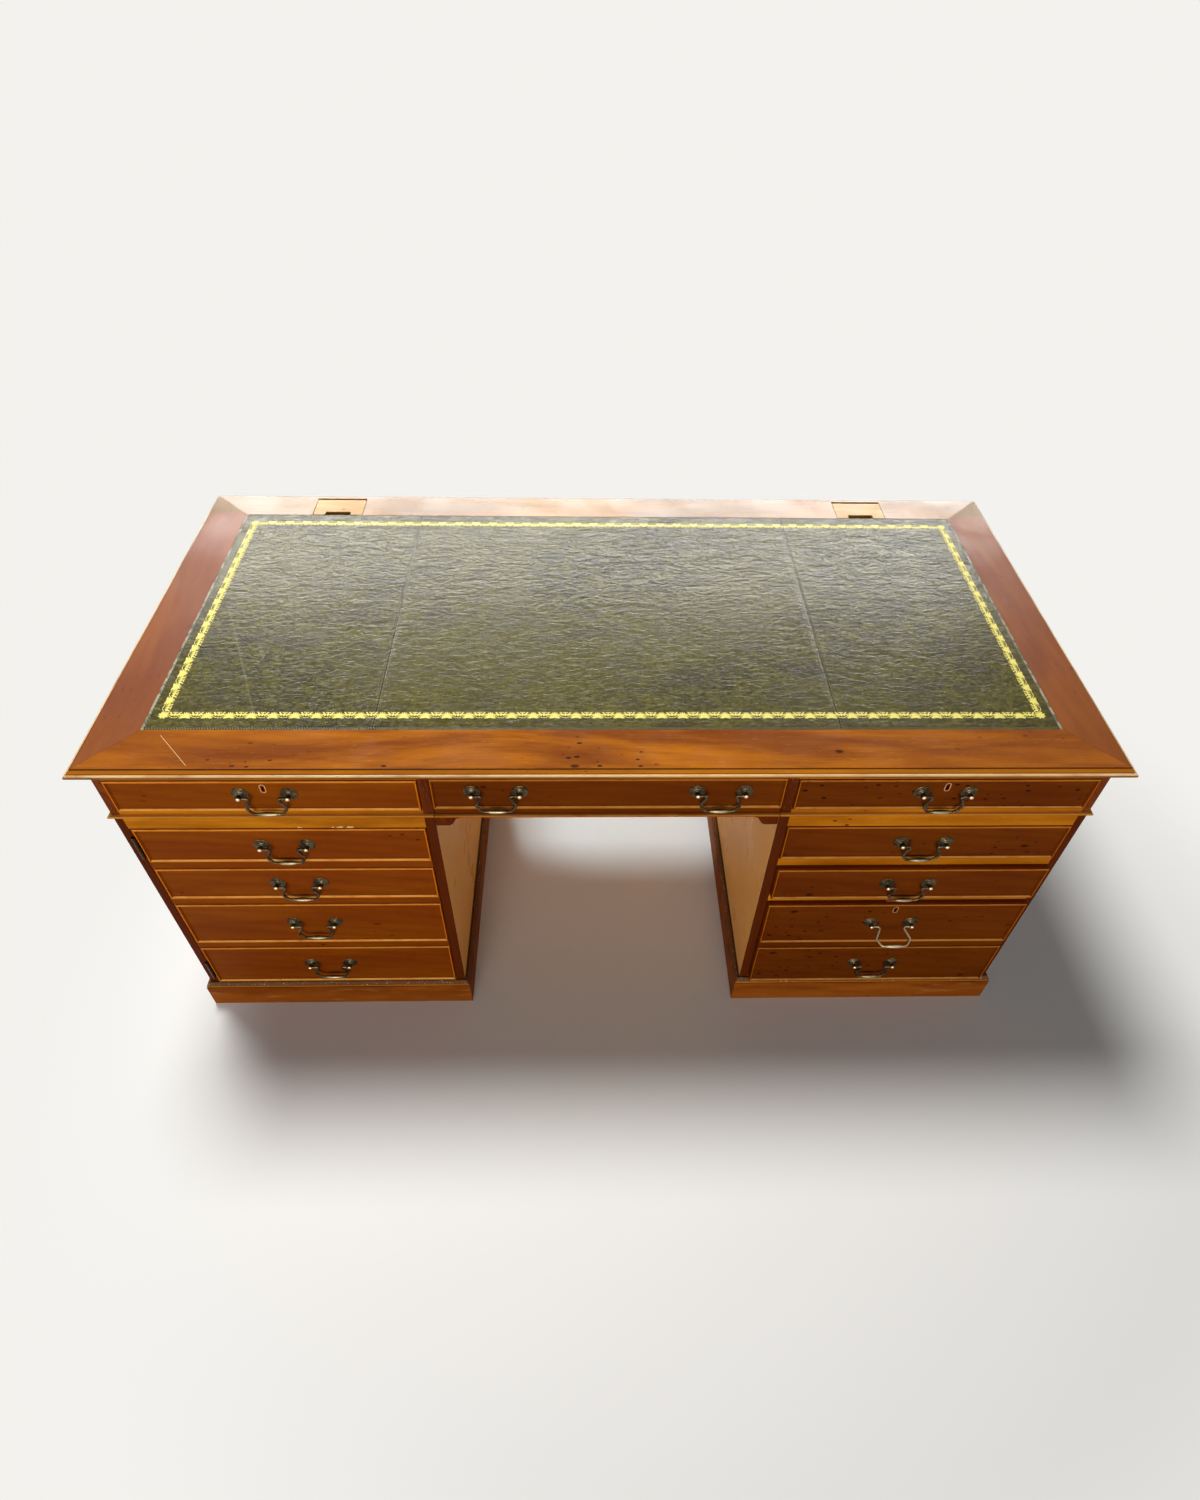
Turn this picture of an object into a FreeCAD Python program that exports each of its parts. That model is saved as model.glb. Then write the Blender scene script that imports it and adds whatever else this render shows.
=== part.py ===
import FreeCAD, Part
import math
import os
import re

import Sketcher
from FreeCAD import Placement, Rotation, Vector

# Partners desk: a kneehole desk of three carcass units, the top with its frieze drawers standing on a cupboard
# pedestal (left) and a drawer pedestal (right).
# Frame: origin on the floor under the middle of the desk, +X along its length to the sitter's right,
# -Y towards the sitter, +Z up.  Millimetres.

# ---------------------------------------------------------------- driving dimensions

DIMENSIONS = [
    # top
    ("top_length", 1830.0, "over the lips of the top"),
    ("top_depth", 915.0, "over the lips of the top"),
    ("top_thickness", 28.0, "border boards"),
    ("end_border", 96.0, "lip to leather at each end"),
    ("front_border", 106.0, "lip to leather in front"),
    ("rear_border", 93.0, "lip to leather behind"),
    ("leather_thickness", 1.2, "skins let in flush with the border"),
    ("leather_centre_width", 834.0, "middle skin of three"),
    ("edge_inset", 11.0, "flat of the top to the lip"),
    ("edge_step", 1.5, "quirk under the flat of the top"),
    ("lip_top", 7.5, "lip bead's upper side, below the top"),
    ("lip_bottom", 15.5, "lip bead's lower side, below the top"),
    ("lip_neck", 5.0, "quirk behind the lip bead"),
    ("lip_round", 3.0, "rounding of the lip bead"),
    ("cove_inset", 16.0, "foot of the cove under the lip"),
    # cable flaps
    ("flap_inset", 303.0, "end of the top to the middle of a flap"),
    ("flap_width", 113.0, "flap along the desk"),
    ("flap_thickness", 14.0, "flap"),
    ("flap_front_gap", 1.0, "flap to the leather's edge"),
    ("flap_side_gap", 1.0, "flap to its well at each end"),
    ("flap_rear_gap", 1.0, "flap to its well behind"),
    ("flap_rest_gap", 0.4, "flap to the ledges it lies over"),
    ("well_rear_margin", 20.0, "lip to the rear wall of the well"),
    ("flap_ledge", 8.0, "ledges along both sides and the rear of the well"),
    ("slot_width", 58.0, "cable slot in the flap's front edge"),
    ("slot_depth", 13.0, "cable slot"),
    ("slot_corner", 4.0, "cable slot's inner corners"),
    ("flap_pin_radius", 1.5, "pivot pins"),
    ("flap_pin_length", 18.0, "half in the flap, half in the border"),
    ("running_clearance", 0.05, "pins and shanks in their holes, radial"),
    # carcass
    ("side_overhang", 29.0, "top past the carcass at each end"),
    ("front_overhang", 20.5, "top past the carcass in front and behind"),
    ("kneehole_width", 628.0, "between the pedestals"),
    ("pedestal_height", 657.0, "floor to the frieze unit"),
    ("frieze_height", 102.0, "frieze unit, which the top lies on"),
    ("outer_side", 15.0, "outer side boards and frieze ends"),
    ("inner_side", 19.0, "kneehole side boards and frieze partitions"),
    ("back_thickness", 18.0, "backs"),
    ("frieze_floor", 12.5, "boards the end frieze drawers run on"),
    ("frieze_rail", 9.5, "rails over the end frieze drawers"),
    ("centre_rail", 6.0, "rail over the centre drawer"),
    ("rail_depth", 22.0, "rails, front to back"),
    ("divider_rail", 21.0, "rails between pedestal drawers"),
    ("opening_top", 36.5, "pedestal top rail's height"),
    ("bottom_thickness", 18.0, "pedestal bottoms"),
    ("shelf_thickness", 16.0, "cupboard shelf"),
    ("shelf_height", 330.0, "floor to the shelf's top"),
    ("shelf_setback", 60.0, "shelf's front edge behind the carcass front"),
    # mouldings
    ("waist_height", 5.0, "waist moulding"),
    ("waist_proud", 6.5, "waist moulding past the carcass"),
    ("waist_round", 2.0, "rounding of the waist moulding's nose"),
    ("waist_drop", 2.5, "waist moulding below the frieze unit"),
    ("plinth_height", 82.0, "plinth"),
    ("plinth_proud", 11.0, "plinth past the carcass"),
    ("plinth_face", 68.0, "flat face of the plinth"),
    ("plinth_nose", 6.0, "upright nose over the plinth's face"),
    ("plinth_step", 1.5, "nose set back from the plinth's face"),
    ("plinth_shoulder", 2.5, "flat on top of the plinth"),
    ("bracket_width", 47.0, "kneehole corner bracket"),
    ("bracket_height", 29.5, "kneehole corner bracket"),
    ("bracket_flat", 25.0, "flat foot of the bracket"),
    ("bracket_toe_out", 5.0, "first corner of the bracket's curve, out from the foot"),
    ("bracket_toe_up", 4.5, "first corner of the bracket's curve, above the foot"),
    ("bracket_heel_out", 13.0, "second corner of the curve, out from the foot"),
    ("bracket_heel_up", 18.5, "second corner of the curve, above the foot"),
    ("bracket_tip_up", 22.0, "tip of the bracket above its foot"),
    ("bracket_thickness", 16.0, "kneehole corner bracket"),
    ("bracket_setback", 2.0, "bracket behind the carcass front"),
    ("bracket_gap", 1.0, "bracket under the centre drawer's moulding"),
    # fronts
    ("front_gap", 1.5, "fronts to the frame around them"),
    ("front_thickness", 16.0, "drawer fronts"),
    ("door_thickness", 18.0, "cupboard door"),
    ("small_row", 95.0, "height of a small front"),
    ("row_band", 23.0, "flat band between the two large panels"),
    ("bead_width", 6.0, "raised bead round each front"),
    ("bead_height", 3.5, "raised bead, proud of the field"),
    ("bead_slope", 3.2, "inner slope of the bead"),
    ("bead_round", 1.4, "rounding of the bead's outer edge"),
    ("hinge_side_inset", 4.0, "beads kept clear of the door's hinge knuckles"),
    ("centre_bead_foot", 20.5, "centre drawer's bead above the front's lower edge"),
    # drawer boxes
    ("box_length", 430.0, "drawer sides"),
    ("box_wall", 12.0, "drawer sides and backs"),
    ("box_bottom", 6.0, "drawer bottoms"),
    ("box_side_gap", 2.0, "drawer sides to the carcass"),
    ("box_top_gap", 10.0, "drawer sides below the front's upper edge"),
    ("box_foot", 3.0, "drawer sides above the front's lower edge"),
    ("centre_box_foot", 22.0, "centre drawer's sides above the front's lower edge"),
    ("bottom_rise", 5.0, "drawer bottom above the sides' lower edge"),
    ("run_gap", 0.5, "drawer sides over what they run on"),
    ("runner_width", 14.0, "runners"),
    ("runner_height", 14.0, "runners under the small and centre drawers"),
    ("ajar", 10.0, "how far the lower right-hand drawers stand out"),
    # handles
    ("handle_pitch", 85.0, "between the two posts of a handle"),
    ("centre_handle_inset", 113.5, "centre front's ends to its handles"),
    ("frieze_handle_rise", 5.0, "posts above the middle of an end frieze front"),
    ("centre_handle_rise", 9.5, "centre drawer's posts above the same line"),
    ("small_handle_rise", 1.2, "posts above the middle of a small front"),
    ("large_handle_rise", 4.0, "posts above the middle of a large front"),
    ("pivot_reach", 12.0, "field of the front to the bail's pivot"),
    ("shank_radius", 2.5, "post's shank"),
    ("rosette_radius", 15.0, "rosette"),
    ("rosette_rim", 1.4, "rosette's rim"),
    ("rosette_step", 1.1, "each step of the rosette"),
    ("rosette_ring", 11.0, "radius of the rosette's first step"),
    ("rosette_boss", 7.0, "radius of the rosette's second step"),
    ("neck_radius", 3.2, "post's neck"),
    ("knob_radius", 4.7, "post's knob"),
    ("knob_half", 4.6, "pivot to each end of the knob"),
    ("knob_chamfer", 1.5, "knob's edges"),
    ("nut_radius", 6.0, "nuts behind the front"),
    ("nut_thickness", 3.5, "nuts behind the front"),
    ("shank_spare", 1.5, "shank past its nut"),
    ("pin_radius", 2.0, "bail's pin"),
    ("pin_bore_past", 1.0, "bore for the pin past the middle of its post"),
    ("bail_gap", 0.5, "knob to the bail's shoulder"),
    ("bail_radius", 2.7, "bail's arms"),
    ("grip_radius", 4.3, "bail's grip at its middle"),
    ("grip_half", 19.0, "half the swelling of the grip"),
    ("grip_sink", 0.4, "ends of the swelling below the bail's surface"),
    ("bail_elbow", 18.5, "post to the bail's inner elbow"),
    ("bail_belly", 6.5, "post to the bail's widest point"),
    ("belly_drop", 25.5, "pivot to the bail's widest point"),
    ("bail_drop", 41.0, "pivot to the grip's middle line"),
    ("elbow_bend", 3.6, "bend at the elbow"),
    ("belly_bend", 8.0, "bend at the widest point"),
    ("foot_bend", 11.0, "bend into the grip"),
    ("foot_inset", 17.0, "post to the corner before the grip"),
    ("raised_bail", 68.0, "degrees that one bail is left standing out"),
    # locks
    ("keyhole_drop", 18.5, "front's upper edge to the keyhole"),
    ("keyhole_radius", 1.9, "keyhole's round part"),
    ("keyhole_slot", 2.4, "keyhole's slot, width"),
    ("keyhole_length", 8.0, "keyhole's slot, below the round part"),
    ("escutcheon_radius", 5.2, "outer radius of the brass line"),
    ("escutcheon_straight", 5.6, "half the straight part of the brass line"),
    ("escutcheon_line", 1.5, "width of the brass line"),
    ("escutcheon_inlay", 1.4, "depth the line is let in"),
    ("escutcheon_proud", 0.3, "line proud of the field"),
    ("lock_width", 46.0, "lock case"),
    ("lock_below", 14.0, "keyhole to the foot of the lock case"),
    ("lock_depth", 10.5, "lock case let into the front's back"),
    ("lock_gap", 0.2, "lock case in its recess"),
    ("bolt_width", 14.0, "bolt"),
    ("bolt_thickness", 2.0, "bolt"),
    ("bolt_setback", 13.0, "front's field to the bolt"),
    ("bolt_length", 22.0, "bolt"),
    ("bolt_gap", 0.3, "bolt in its case and in its mortise"),
    ("bolt_throw", 6.0, "travel of the bolt"),
    # butt hinges
    ("hinge_length", 62.0, "butt hinge"),
    ("hinge_inset", 20.0, "hinge from the door's end"),
    ("leaf_thickness", 1.2, "leaves, let in flush"),
    ("leaf_width", 15.0, "leaf behind the door's face"),
    ("knuckle_radius", 3.4, "barrel"),
    ("knuckle_reach", 3.8, "carcass front to the hinge pin's axis"),
    ("knuckle_gap", 0.2, "between knuckles"),
    ("hinge_pin_radius", 1.5, "hinge pin"),
]

doc = FreeCAD.newDocument("PartnersDesk")
sizes = doc.addObject("Spreadsheet::Sheet", "Sizes")
for line, (alias, value, meaning) in enumerate(DIMENSIONS, start=1):
    sizes.set(f"A{line}", meaning)
    sizes.set(f"B{line}", str(value))
    sizes.setAlias(f"B{line}", alias)
doc.recompute()

LONG_EDGE = 20.0  # edges of a moulding's nose that run along it are longer than this
ON_FACE = 1e-4  # a vertex this close to a plane lies on it
DRAFT_MIDDLE = 60.0  # a sketch's outline is first drawn round about here, before its sizes move it
DRAFT_RADIUS = 40.0
DRAFT_TURN = 0.63  # of a full turn, where the first corner of a draft outline lies

ALIASES = {alias for alias, _value, _meaning in DIMENSIONS}
WORD = re.compile(r"[a-z_]+")

# ---------------------------------------------------------------- helpers


def in_sheet(text):
    """Point every alias in an expression at the spreadsheet."""
    return WORD.sub(lambda found: f"Sizes.{found[0]}" if found[0] in ALIASES else found[0], str(text))


def size(alias):
    """A driving dimension as a number."""
    return float(sizes.get(alias))


def bind(thing, **expressions):
    for name, text in expressions.items():
        thing.setExpression(name, in_sheet(text))


def place(thing, x, y, z, rotation=None):
    """Put an object at expressions x, y, z, turned by a fixed rotation."""
    if rotation is not None:
        thing.Placement = Placement(Vector(), rotation)
    for axis, text in zip("xyz", (x, y, z)):
        thing.setExpression(f"Placement.Base.{axis}", in_sheet(text))
    return thing


def board(label, x, y, z):
    """A box between pairs of expressions."""
    box = doc.addObject("Part::Box", "Board")
    box.Label = label
    bind(box, Length=f"({x[1]}) - ({x[0]})", Width=f"({y[1]}) - ({y[0]})", Height=f"({z[1]}) - ({z[0]})")
    return place(box, x[0], y[0], z[0])


TURNS = {
    "x": Rotation(Vector(0, 1, 0), 90),
    "y": Rotation(Vector(1, 0, 0), -90),
    "z": Rotation(),
}


def rod(label, along, radius, length, x, y, z):
    """A cylinder from the point x, y, z, along one of the axes."""
    cylinder = doc.addObject("Part::Cylinder", "Rod")
    cylinder.Label = label
    bind(cylinder, Radius=radius, Height=length)
    return place(cylinder, x, y, z, TURNS[along])


def joined(label, pieces):
    """Pieces fused into one."""
    result = doc.addObject("Part::MultiFuse", "Joined")
    result.Label = label
    result.Shapes = pieces
    return result


def cut(label, base, tools):
    """The base with every tool taken away."""
    result = doc.addObject("Part::Cut", "Cut")
    result.Label = label
    result.Base = base
    result.Tool = tools[0] if len(tools) == 1 else joined(f"{label} tools", tools)
    return result


def group(label, pieces):
    """Separate solids of one kind kept in one node."""
    result = doc.addObject("Part::Compound", "Group")
    result.Label = label
    result.Links = pieces
    return result


def origin_plane(body, role):
    return next(feature for feature in body.Origin.OriginFeatures if feature.Role == role)


def new_body(label):
    body = doc.addObject("PartDesign::Body", "Body")
    body.Label = label
    return body


def fix(sketch, geometry, point, x, y):
    """Tie a point of a sketch to its two coordinates."""
    for kind, text in (("DistanceX", x), ("DistanceY", y)):
        index = sketch.addConstraint(Sketcher.Constraint(kind, -1, 1, geometry, point, 1.0))
        sketch.setExpression(f"Constraints[{index}]", in_sheet(text))


def fix_radius(sketch, geometry, radius):
    index = sketch.addConstraint(Sketcher.Constraint("Radius", geometry, 1.0))
    sketch.setExpression(f"Constraints[{index}]", in_sheet(radius))


def add_polygon(sketch, corners):
    """A closed outline through corners given as pairs of expressions, counter-clockwise."""
    first = sketch.GeometryCount
    count = len(corners)
    turns = [math.tau * (i / count + DRAFT_TURN) for i in range(count)]
    middle = Vector(DRAFT_MIDDLE, DRAFT_MIDDLE, 0)
    start = [middle + DRAFT_RADIUS * Vector(math.cos(turn), math.sin(turn), 0) for turn in turns]
    for i in range(count):
        sketch.addGeometry(Part.LineSegment(start[i], start[(i + 1) % count]), False)
    for i in range(count):
        sketch.addConstraint(Sketcher.Constraint("Coincident", first + i, 2, first + (i + 1) % count, 1))
    for i, (x, y) in enumerate(corners):
        fix(sketch, first + i, 1, x, y)


def add_circle(sketch, x, y, radius):
    middle = Vector(DRAFT_MIDDLE, DRAFT_MIDDLE, 0)
    index = sketch.addGeometry(Part.Circle(middle, Vector(0, 0, 1), DRAFT_RADIUS), False)
    fix_radius(sketch, index, radius)
    fix(sketch, index, 3, x, y)


ADDERS = {"polygon": add_polygon, "circle": add_circle}


def new_sketch(body, role, outlines):
    """A sketch on one of the body's origin planes; each outline is a kind and its arguments."""
    sketch = body.newObject("Sketcher::SketchObject", "Sketch")
    sketch.AttachmentSupport = (origin_plane(body, role), [""])
    sketch.MapMode = "FlatFace"
    for kind, *arguments in outlines:
        ADDERS[kind](sketch, *arguments)
    return sketch


def rectangle(x, y):
    """The four corners of a rectangle between two pairs of expressions."""
    return ("polygon", [(x[0], y[0]), (x[1], y[0]), (x[1], y[1]), (x[0], y[1])])


def pad(body, role, outlines, length):
    feature = body.newObject("PartDesign::Pad", "Pad")
    feature.Profile = new_sketch(body, role, outlines)
    bind(feature, Length=length)
    return feature


def pocket(body, role, outlines, length=None):
    """A pocket from an origin plane into the side that the pads grow on; right through without a length."""
    feature = body.newObject("PartDesign::Pocket", "Pocket")
    feature.Profile = new_sketch(body, role, outlines)
    feature.Reversed = True
    if length is None:
        feature.Type = "ThroughAll"
    else:
        bind(feature, Length=length)
    return feature


def round_face(body, base, radius, y):
    """Round the long edges of the face of a feature that lies at y in the body's own coordinates."""
    doc.recompute()
    names = []
    for i, edge in enumerate(base.Shape.Edges, start=1):
        on_face = all(abs(vertex.Point.y - y) < ON_FACE for vertex in edge.Vertexes)
        if on_face and edge.Length > LONG_EDGE:
            names.append(f"Edge{i}")
    feature = body.newObject("PartDesign::Fillet", "Fillet")
    feature.Base = (base, names)
    bind(feature, Radius=radius)
    return feature


def frame_edges(base, y, inner):
    """Names of the inner or outer edges of the raised frames whose faces lie at y."""
    chosen = []
    for face in base.Shape.Faces:
        if all(abs(vertex.Point.y - y) < ON_FACE for vertex in face.Vertexes):
            for wire in face.Wires:
                if wire.isSame(face.OuterWire) != inner:
                    chosen += wire.Edges
    return [f"Edge{i}" for i, edge in enumerate(base.Shape.Edges, start=1)
            if any(edge.isSame(other) for other in chosen)]


def dress_frames(body, base, y):
    """Slope the inner edges of raised frames down to the field and round their outer edges."""
    doc.recompute()
    slope = body.newObject("PartDesign::Chamfer", "Chamfer")
    slope.Base = (base, frame_edges(base, y, True))
    bind(slope, Size="bead_slope")
    doc.recompute()
    rounding = body.newObject("PartDesign::Fillet", "Fillet")
    rounding.Base = (slope, frame_edges(slope, y, False))
    bind(rounding, Radius="bead_round")


NODES = {}


def node(thing):
    """Register a finished sub-part under its label."""
    NODES[thing.Label] = thing
    return thing


# ---------------------------------------------------------------- places worked out from the dimensions

TOP_X = "(top_length / 2)"
TOP_Y = "(top_depth / 2)"
CARCASS_X = "(top_length / 2 - side_overhang)"
CARCASS_Y = "(top_depth / 2 - front_overhang)"
FRONT_Y = f"(-{CARCASS_Y})"
KNEE_X = "(kneehole_width / 2)"
UNDER_TOP = "(pedestal_height + frieze_height)"
DESK_HEIGHT = f"({UNDER_TOP} + top_thickness)"
BACK_Y = f"({CARCASS_Y} - back_thickness)"
LEATHER_X = f"({TOP_X} - end_border)"
LEATHER_FRONT = f"(front_border - {TOP_Y})"
LEATHER_REAR = f"({TOP_Y} - rear_border)"
OPENING_IN = f"({KNEE_X} + inner_side)"
OPENING_OUT = f"({CARCASS_X} - outer_side)"
OPENING_MID = f"(({OPENING_IN} + {OPENING_OUT}) / 2)"
OPENING_WIDTH = f"({OPENING_OUT} - {OPENING_IN})"
FLOOR_TOP = "(pedestal_height + frieze_floor)"
RAIL_UNDER = f"({UNDER_TOP} - frieze_rail)"
CENTRE_RAIL_UNDER = f"({UNDER_TOP} - centre_rail)"
PEDESTAL_OPEN = "(pedestal_height - opening_top)"


def both_sides(low, high):
    """The same stretch of X on the left and on the right."""
    return {"left": (f"-({high})", f"-({low})"), "right": (low, high)}


# ---------------------------------------------------------------- top

core_z = (UNDER_TOP, f"({DESK_HEIGHT} - leather_thickness)")
node(board("top_core", (f"-{LEATHER_X}", LEATHER_X), (LEATHER_FRONT, LEATHER_REAR), core_z))

skin_z = (core_z[1], DESK_HEIGHT)
joint_x = "(leather_centre_width / 2)"
node(group("leather_panels", [
    board(f"leather {name}", x, (LEATHER_FRONT, LEATHER_REAR), skin_z)
    for name, x in (("left", (f"-{LEATHER_X}", f"-{joint_x}")),
                    ("centre", (f"-{joint_x}", joint_x)),
                    ("right", (joint_x, LEATHER_X)))]))


def border_board(label, width, length, neighbours):
    """One border board: local X along it, local Y out to the lip, Z up, both ends mitred."""
    body = new_body(label)
    outline = [
        ("0", "0"),
        (f"{width} - cove_inset", "0"),
        (f"{width} - lip_neck", "top_thickness - lip_bottom"),
        (width, "top_thickness - lip_bottom"),
        (width, "top_thickness - lip_top"),
        (f"{width} - lip_neck", "top_thickness - lip_top"),
        (f"{width} - edge_inset", "top_thickness - edge_step"),
        (f"{width} - edge_inset", "top_thickness"),
        ("0", "top_thickness"),
    ]
    pad(body, "YZ_Plane", [("polygon", outline)], length)
    ends = [
        [("0", "0"), (neighbours[0], "0"), ("0", width)],
        [(length, "0"), (length, width), (f"{length} - {neighbours[1]}", "0")],
    ]
    last = None
    for corners in ends:
        last = pocket(body, "XY_Plane", [("polygon", corners)])
    round_face(body, last, "lip_round", size(width))
    return body


front_board = border_board("border front", "front_border", "top_length", ("end_border", "end_border"))
place(front_board, TOP_X, LEATHER_FRONT, UNDER_TOP, Rotation(Vector(0, 0, 1), 180))
rear_board = border_board("border rear", "rear_border", "top_length", ("end_border", "end_border"))
place(rear_board, f"-{TOP_X}", LEATHER_REAR, UNDER_TOP)
left_board = border_board("border left", "end_border", "top_depth", ("front_border", "rear_border"))
place(left_board, f"-{LEATHER_X}", f"-{TOP_Y}", UNDER_TOP, Rotation(Vector(0, 0, 1), 90))
right_board = border_board("border right", "end_border", "top_depth", ("rear_border", "front_border"))
place(right_board, LEATHER_X, TOP_Y, UNDER_TOP, Rotation(Vector(0, 0, 1), -90))

# ---------------------------------------------------------------- cable flaps

WELL_REAR = f"({TOP_Y} - well_rear_margin)"
FLAP_FRONT = f"({LEATHER_REAR} + flap_front_gap)"
FLAP_REAR = f"({WELL_REAR} - flap_rear_gap)"
PIVOT_Y = f"({FLAP_REAR} - flap_thickness / 2)"
FLAP_UNDER = f"({DESK_HEIGHT} - flap_thickness)"
PIVOT_Z = f"({DESK_HEIGHT} - flap_thickness / 2)"

well_tools = []
flap_pins = []
for side, sign in (("left", "-"), ("right", "")):
    middle = f"({sign}({TOP_X} - flap_inset))"
    flap_x = (f"{middle} - flap_width / 2", f"{middle} + flap_width / 2")
    well_x = (f"{flap_x[0]} - flap_side_gap", f"{flap_x[1]} + flap_side_gap")
    well_floor = f"({FLAP_UNDER} - flap_rest_gap)"
    well_tools.append(board(f"well {side}", well_x, (LEATHER_REAR, WELL_REAR), (well_floor, DESK_HEIGHT)))
    well_tools.append(board(f"passage {side}",
                            (f"{well_x[0]} + flap_ledge", f"{well_x[1]} - flap_ledge"),
                            (LEATHER_REAR, f"{WELL_REAR} - flap_ledge"),
                            (UNDER_TOP, well_floor)))
    slab = board(f"flap slab {side}", flap_x, (FLAP_FRONT, PIVOT_Y), (FLAP_UNDER, DESK_HEIGHT))
    knuckle = rod(f"flap knuckle {side}", "x", "flap_thickness / 2", "flap_width", flap_x[0], PIVOT_Y, PIVOT_Z)
    slot_x = (f"{middle} - slot_width / 2", f"{middle} + slot_width / 2")
    slot_y = (FLAP_FRONT, f"{FLAP_FRONT} + slot_depth")
    slot_z = (FLAP_UNDER, DESK_HEIGHT)
    slot = [board(f"slot mouth {side}", slot_x, (slot_y[0], f"{slot_y[1]} - slot_corner"), slot_z),
            board(f"slot floor {side}", (f"{slot_x[0]} + slot_corner", f"{slot_x[1]} - slot_corner"), slot_y,
                  slot_z)]
    for corner_x in (f"{slot_x[0]} + slot_corner", f"{slot_x[1]} - slot_corner"):
        slot.append(rod(f"slot corner {side}", "z", "slot_corner", "flap_thickness", corner_x,
                        f"{slot_y[1]} - slot_corner", slot_z[0]))
    pin_holes = []
    for end in (flap_x[0], flap_x[1]):
        start = f"{end} - flap_pin_length / 2"
        flap_pins.append(rod(f"flap pin {side}", "x", "flap_pin_radius", "flap_pin_length", start, PIVOT_Y,
                             PIVOT_Z))
        pin_holes.append(rod(f"flap pin hole {side}", "x", "flap_pin_radius + running_clearance",
                             "flap_pin_length + 2 * running_clearance", f"{start} - running_clearance",
                             PIVOT_Y, PIVOT_Z))
    well_tools += pin_holes
    node(cut(f"cable_flap_{side}", joined(f"flap blank {side}", [slab, knuckle]), slot + pin_holes))

node(group("flap_pins", flap_pins))
node(group("top_border", [front_board, left_board, right_board, cut("border rear with wells", rear_board,
                                                                    well_tools)]))

# ---------------------------------------------------------------- frieze carcass

FRIEZE_Z = ("pedestal_height", UNDER_TOP)
outer_board_x = both_sides(OPENING_OUT, CARCASS_X)
inner_board_x = both_sides(KNEE_X, OPENING_IN)
bay_x = both_sides(OPENING_IN, OPENING_OUT)
FULL_Y = (FRONT_Y, CARCASS_Y)
TO_BACK_Y = (FRONT_Y, BACK_Y)

node(group("frieze_ends", [board(f"frieze end {side}", outer_board_x[side], FULL_Y, FRIEZE_Z)
                            for side in outer_board_x]))
node(group("frieze_partitions", [board(f"frieze partition {side}", inner_board_x[side], TO_BACK_Y, FRIEZE_Z)
                                 for side in inner_board_x]))
node(group("frieze_floors", [board(f"frieze floor {side}", bay_x[side], TO_BACK_Y,
                                   ("pedestal_height", FLOOR_TOP)) for side in bay_x]))


def beaded_board(label, width, height, thickness, frames):
    """A front or back with raised bead frames: local X across, Z up, its back at Y 0, its field towards -Y."""
    body = new_body(label)
    pad(body, "XZ_Plane", [rectangle(("0", width), ("0", height))], thickness)
    proud = f"({thickness} + bead_height)"
    last = None
    for x, z in frames:
        inner_x = (f"{x[0]} + bead_width", f"{x[1]} - bead_width")
        inner_z = (f"{z[0]} + bead_width", f"{z[1]} - bead_width")
        last = pad(body, "XZ_Plane", [rectangle(x, z), rectangle(inner_x, inner_z)], proud)
    dress_frames(body, last, -size(thickness) - size("bead_height"))
    return body


back_length = f"(2 * {OPENING_OUT})"
back_bays = [("0", OPENING_WIDTH), (f"{OPENING_WIDTH} + inner_side", f"{OPENING_OUT} + {KNEE_X}"),
             (f"{OPENING_OUT} + {OPENING_IN}", back_length)]
bead_z = ("frieze_floor", "frieze_height - frieze_rail")
frieze_back = beaded_board("frieze_back", back_length, "frieze_height", "back_thickness",
                           [(x, bead_z) for x in back_bays])
place(frieze_back, OPENING_OUT, BACK_Y, "pedestal_height", Rotation(Vector(0, 0, 1), 180))
node(frieze_back)

# ---------------------------------------------------------------- pedestals

BOTTOM_Z = ("(plinth_height - bottom_thickness)", "plinth_height")
node(group("pedestal_bottoms", [board(f"pedestal bottom {side}", bay_x[side], TO_BACK_Y, BOTTOM_Z)
                                for side in bay_x]))

pedestal_backs = []
back_foot = BOTTOM_Z[0]
back_height = f"(pedestal_height - {back_foot})"
for side, corner in (("left", f"-{OPENING_IN}"), ("right", OPENING_OUT)):
    panel = (("0", OPENING_WIDTH), ("bottom_thickness", f"{PEDESTAL_OPEN} - {back_foot}"))
    back = beaded_board(f"pedestal back {side}", OPENING_WIDTH, back_height, "back_thickness", [panel])
    pedestal_backs.append(place(back, corner, BACK_Y, back_foot, Rotation(Vector(0, 0, 1), 180)))
node(group("pedestal_backs", pedestal_backs))

node(board("cupboard_shelf", bay_x["left"], (f"{FRONT_Y} + shelf_setback", BACK_Y),
           ("shelf_height - shelf_thickness", "shelf_height")))

# ---------------------------------------------------------------- rows of fronts

DOOR_Z = ("(plinth_height + front_gap)", f"({PEDESTAL_OPEN} - front_gap)")
SECOND_Z = (f"({DOOR_Z[1]} - small_row)", DOOR_Z[1])
SECOND_RAIL = (f"({SECOND_Z[0]} - front_gap - divider_rail)", f"({SECOND_Z[0]} - front_gap)")
THIRD_Z = (f"({SECOND_RAIL[0]} - front_gap - small_row)", f"({SECOND_RAIL[0]} - front_gap)")
THIRD_RAIL = (f"({THIRD_Z[0]} - front_gap - divider_rail)", f"({THIRD_Z[0]} - front_gap)")
FILING_Z = (DOOR_Z[0], f"({THIRD_RAIL[0]} - front_gap)")
FRIEZE_FRONT_Z = (f"({FLOOR_TOP} + front_gap)", f"({RAIL_UNDER} - front_gap)")
FRONT_WIDTH = f"({OPENING_WIDTH} - 2 * front_gap)"
RAIL_Y = (FRONT_Y, f"{FRONT_Y} + rail_depth")
BOLT_Y = (f"{FRONT_Y} + bolt_setback", f"{FRONT_Y} + bolt_setback + bolt_thickness")

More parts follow.
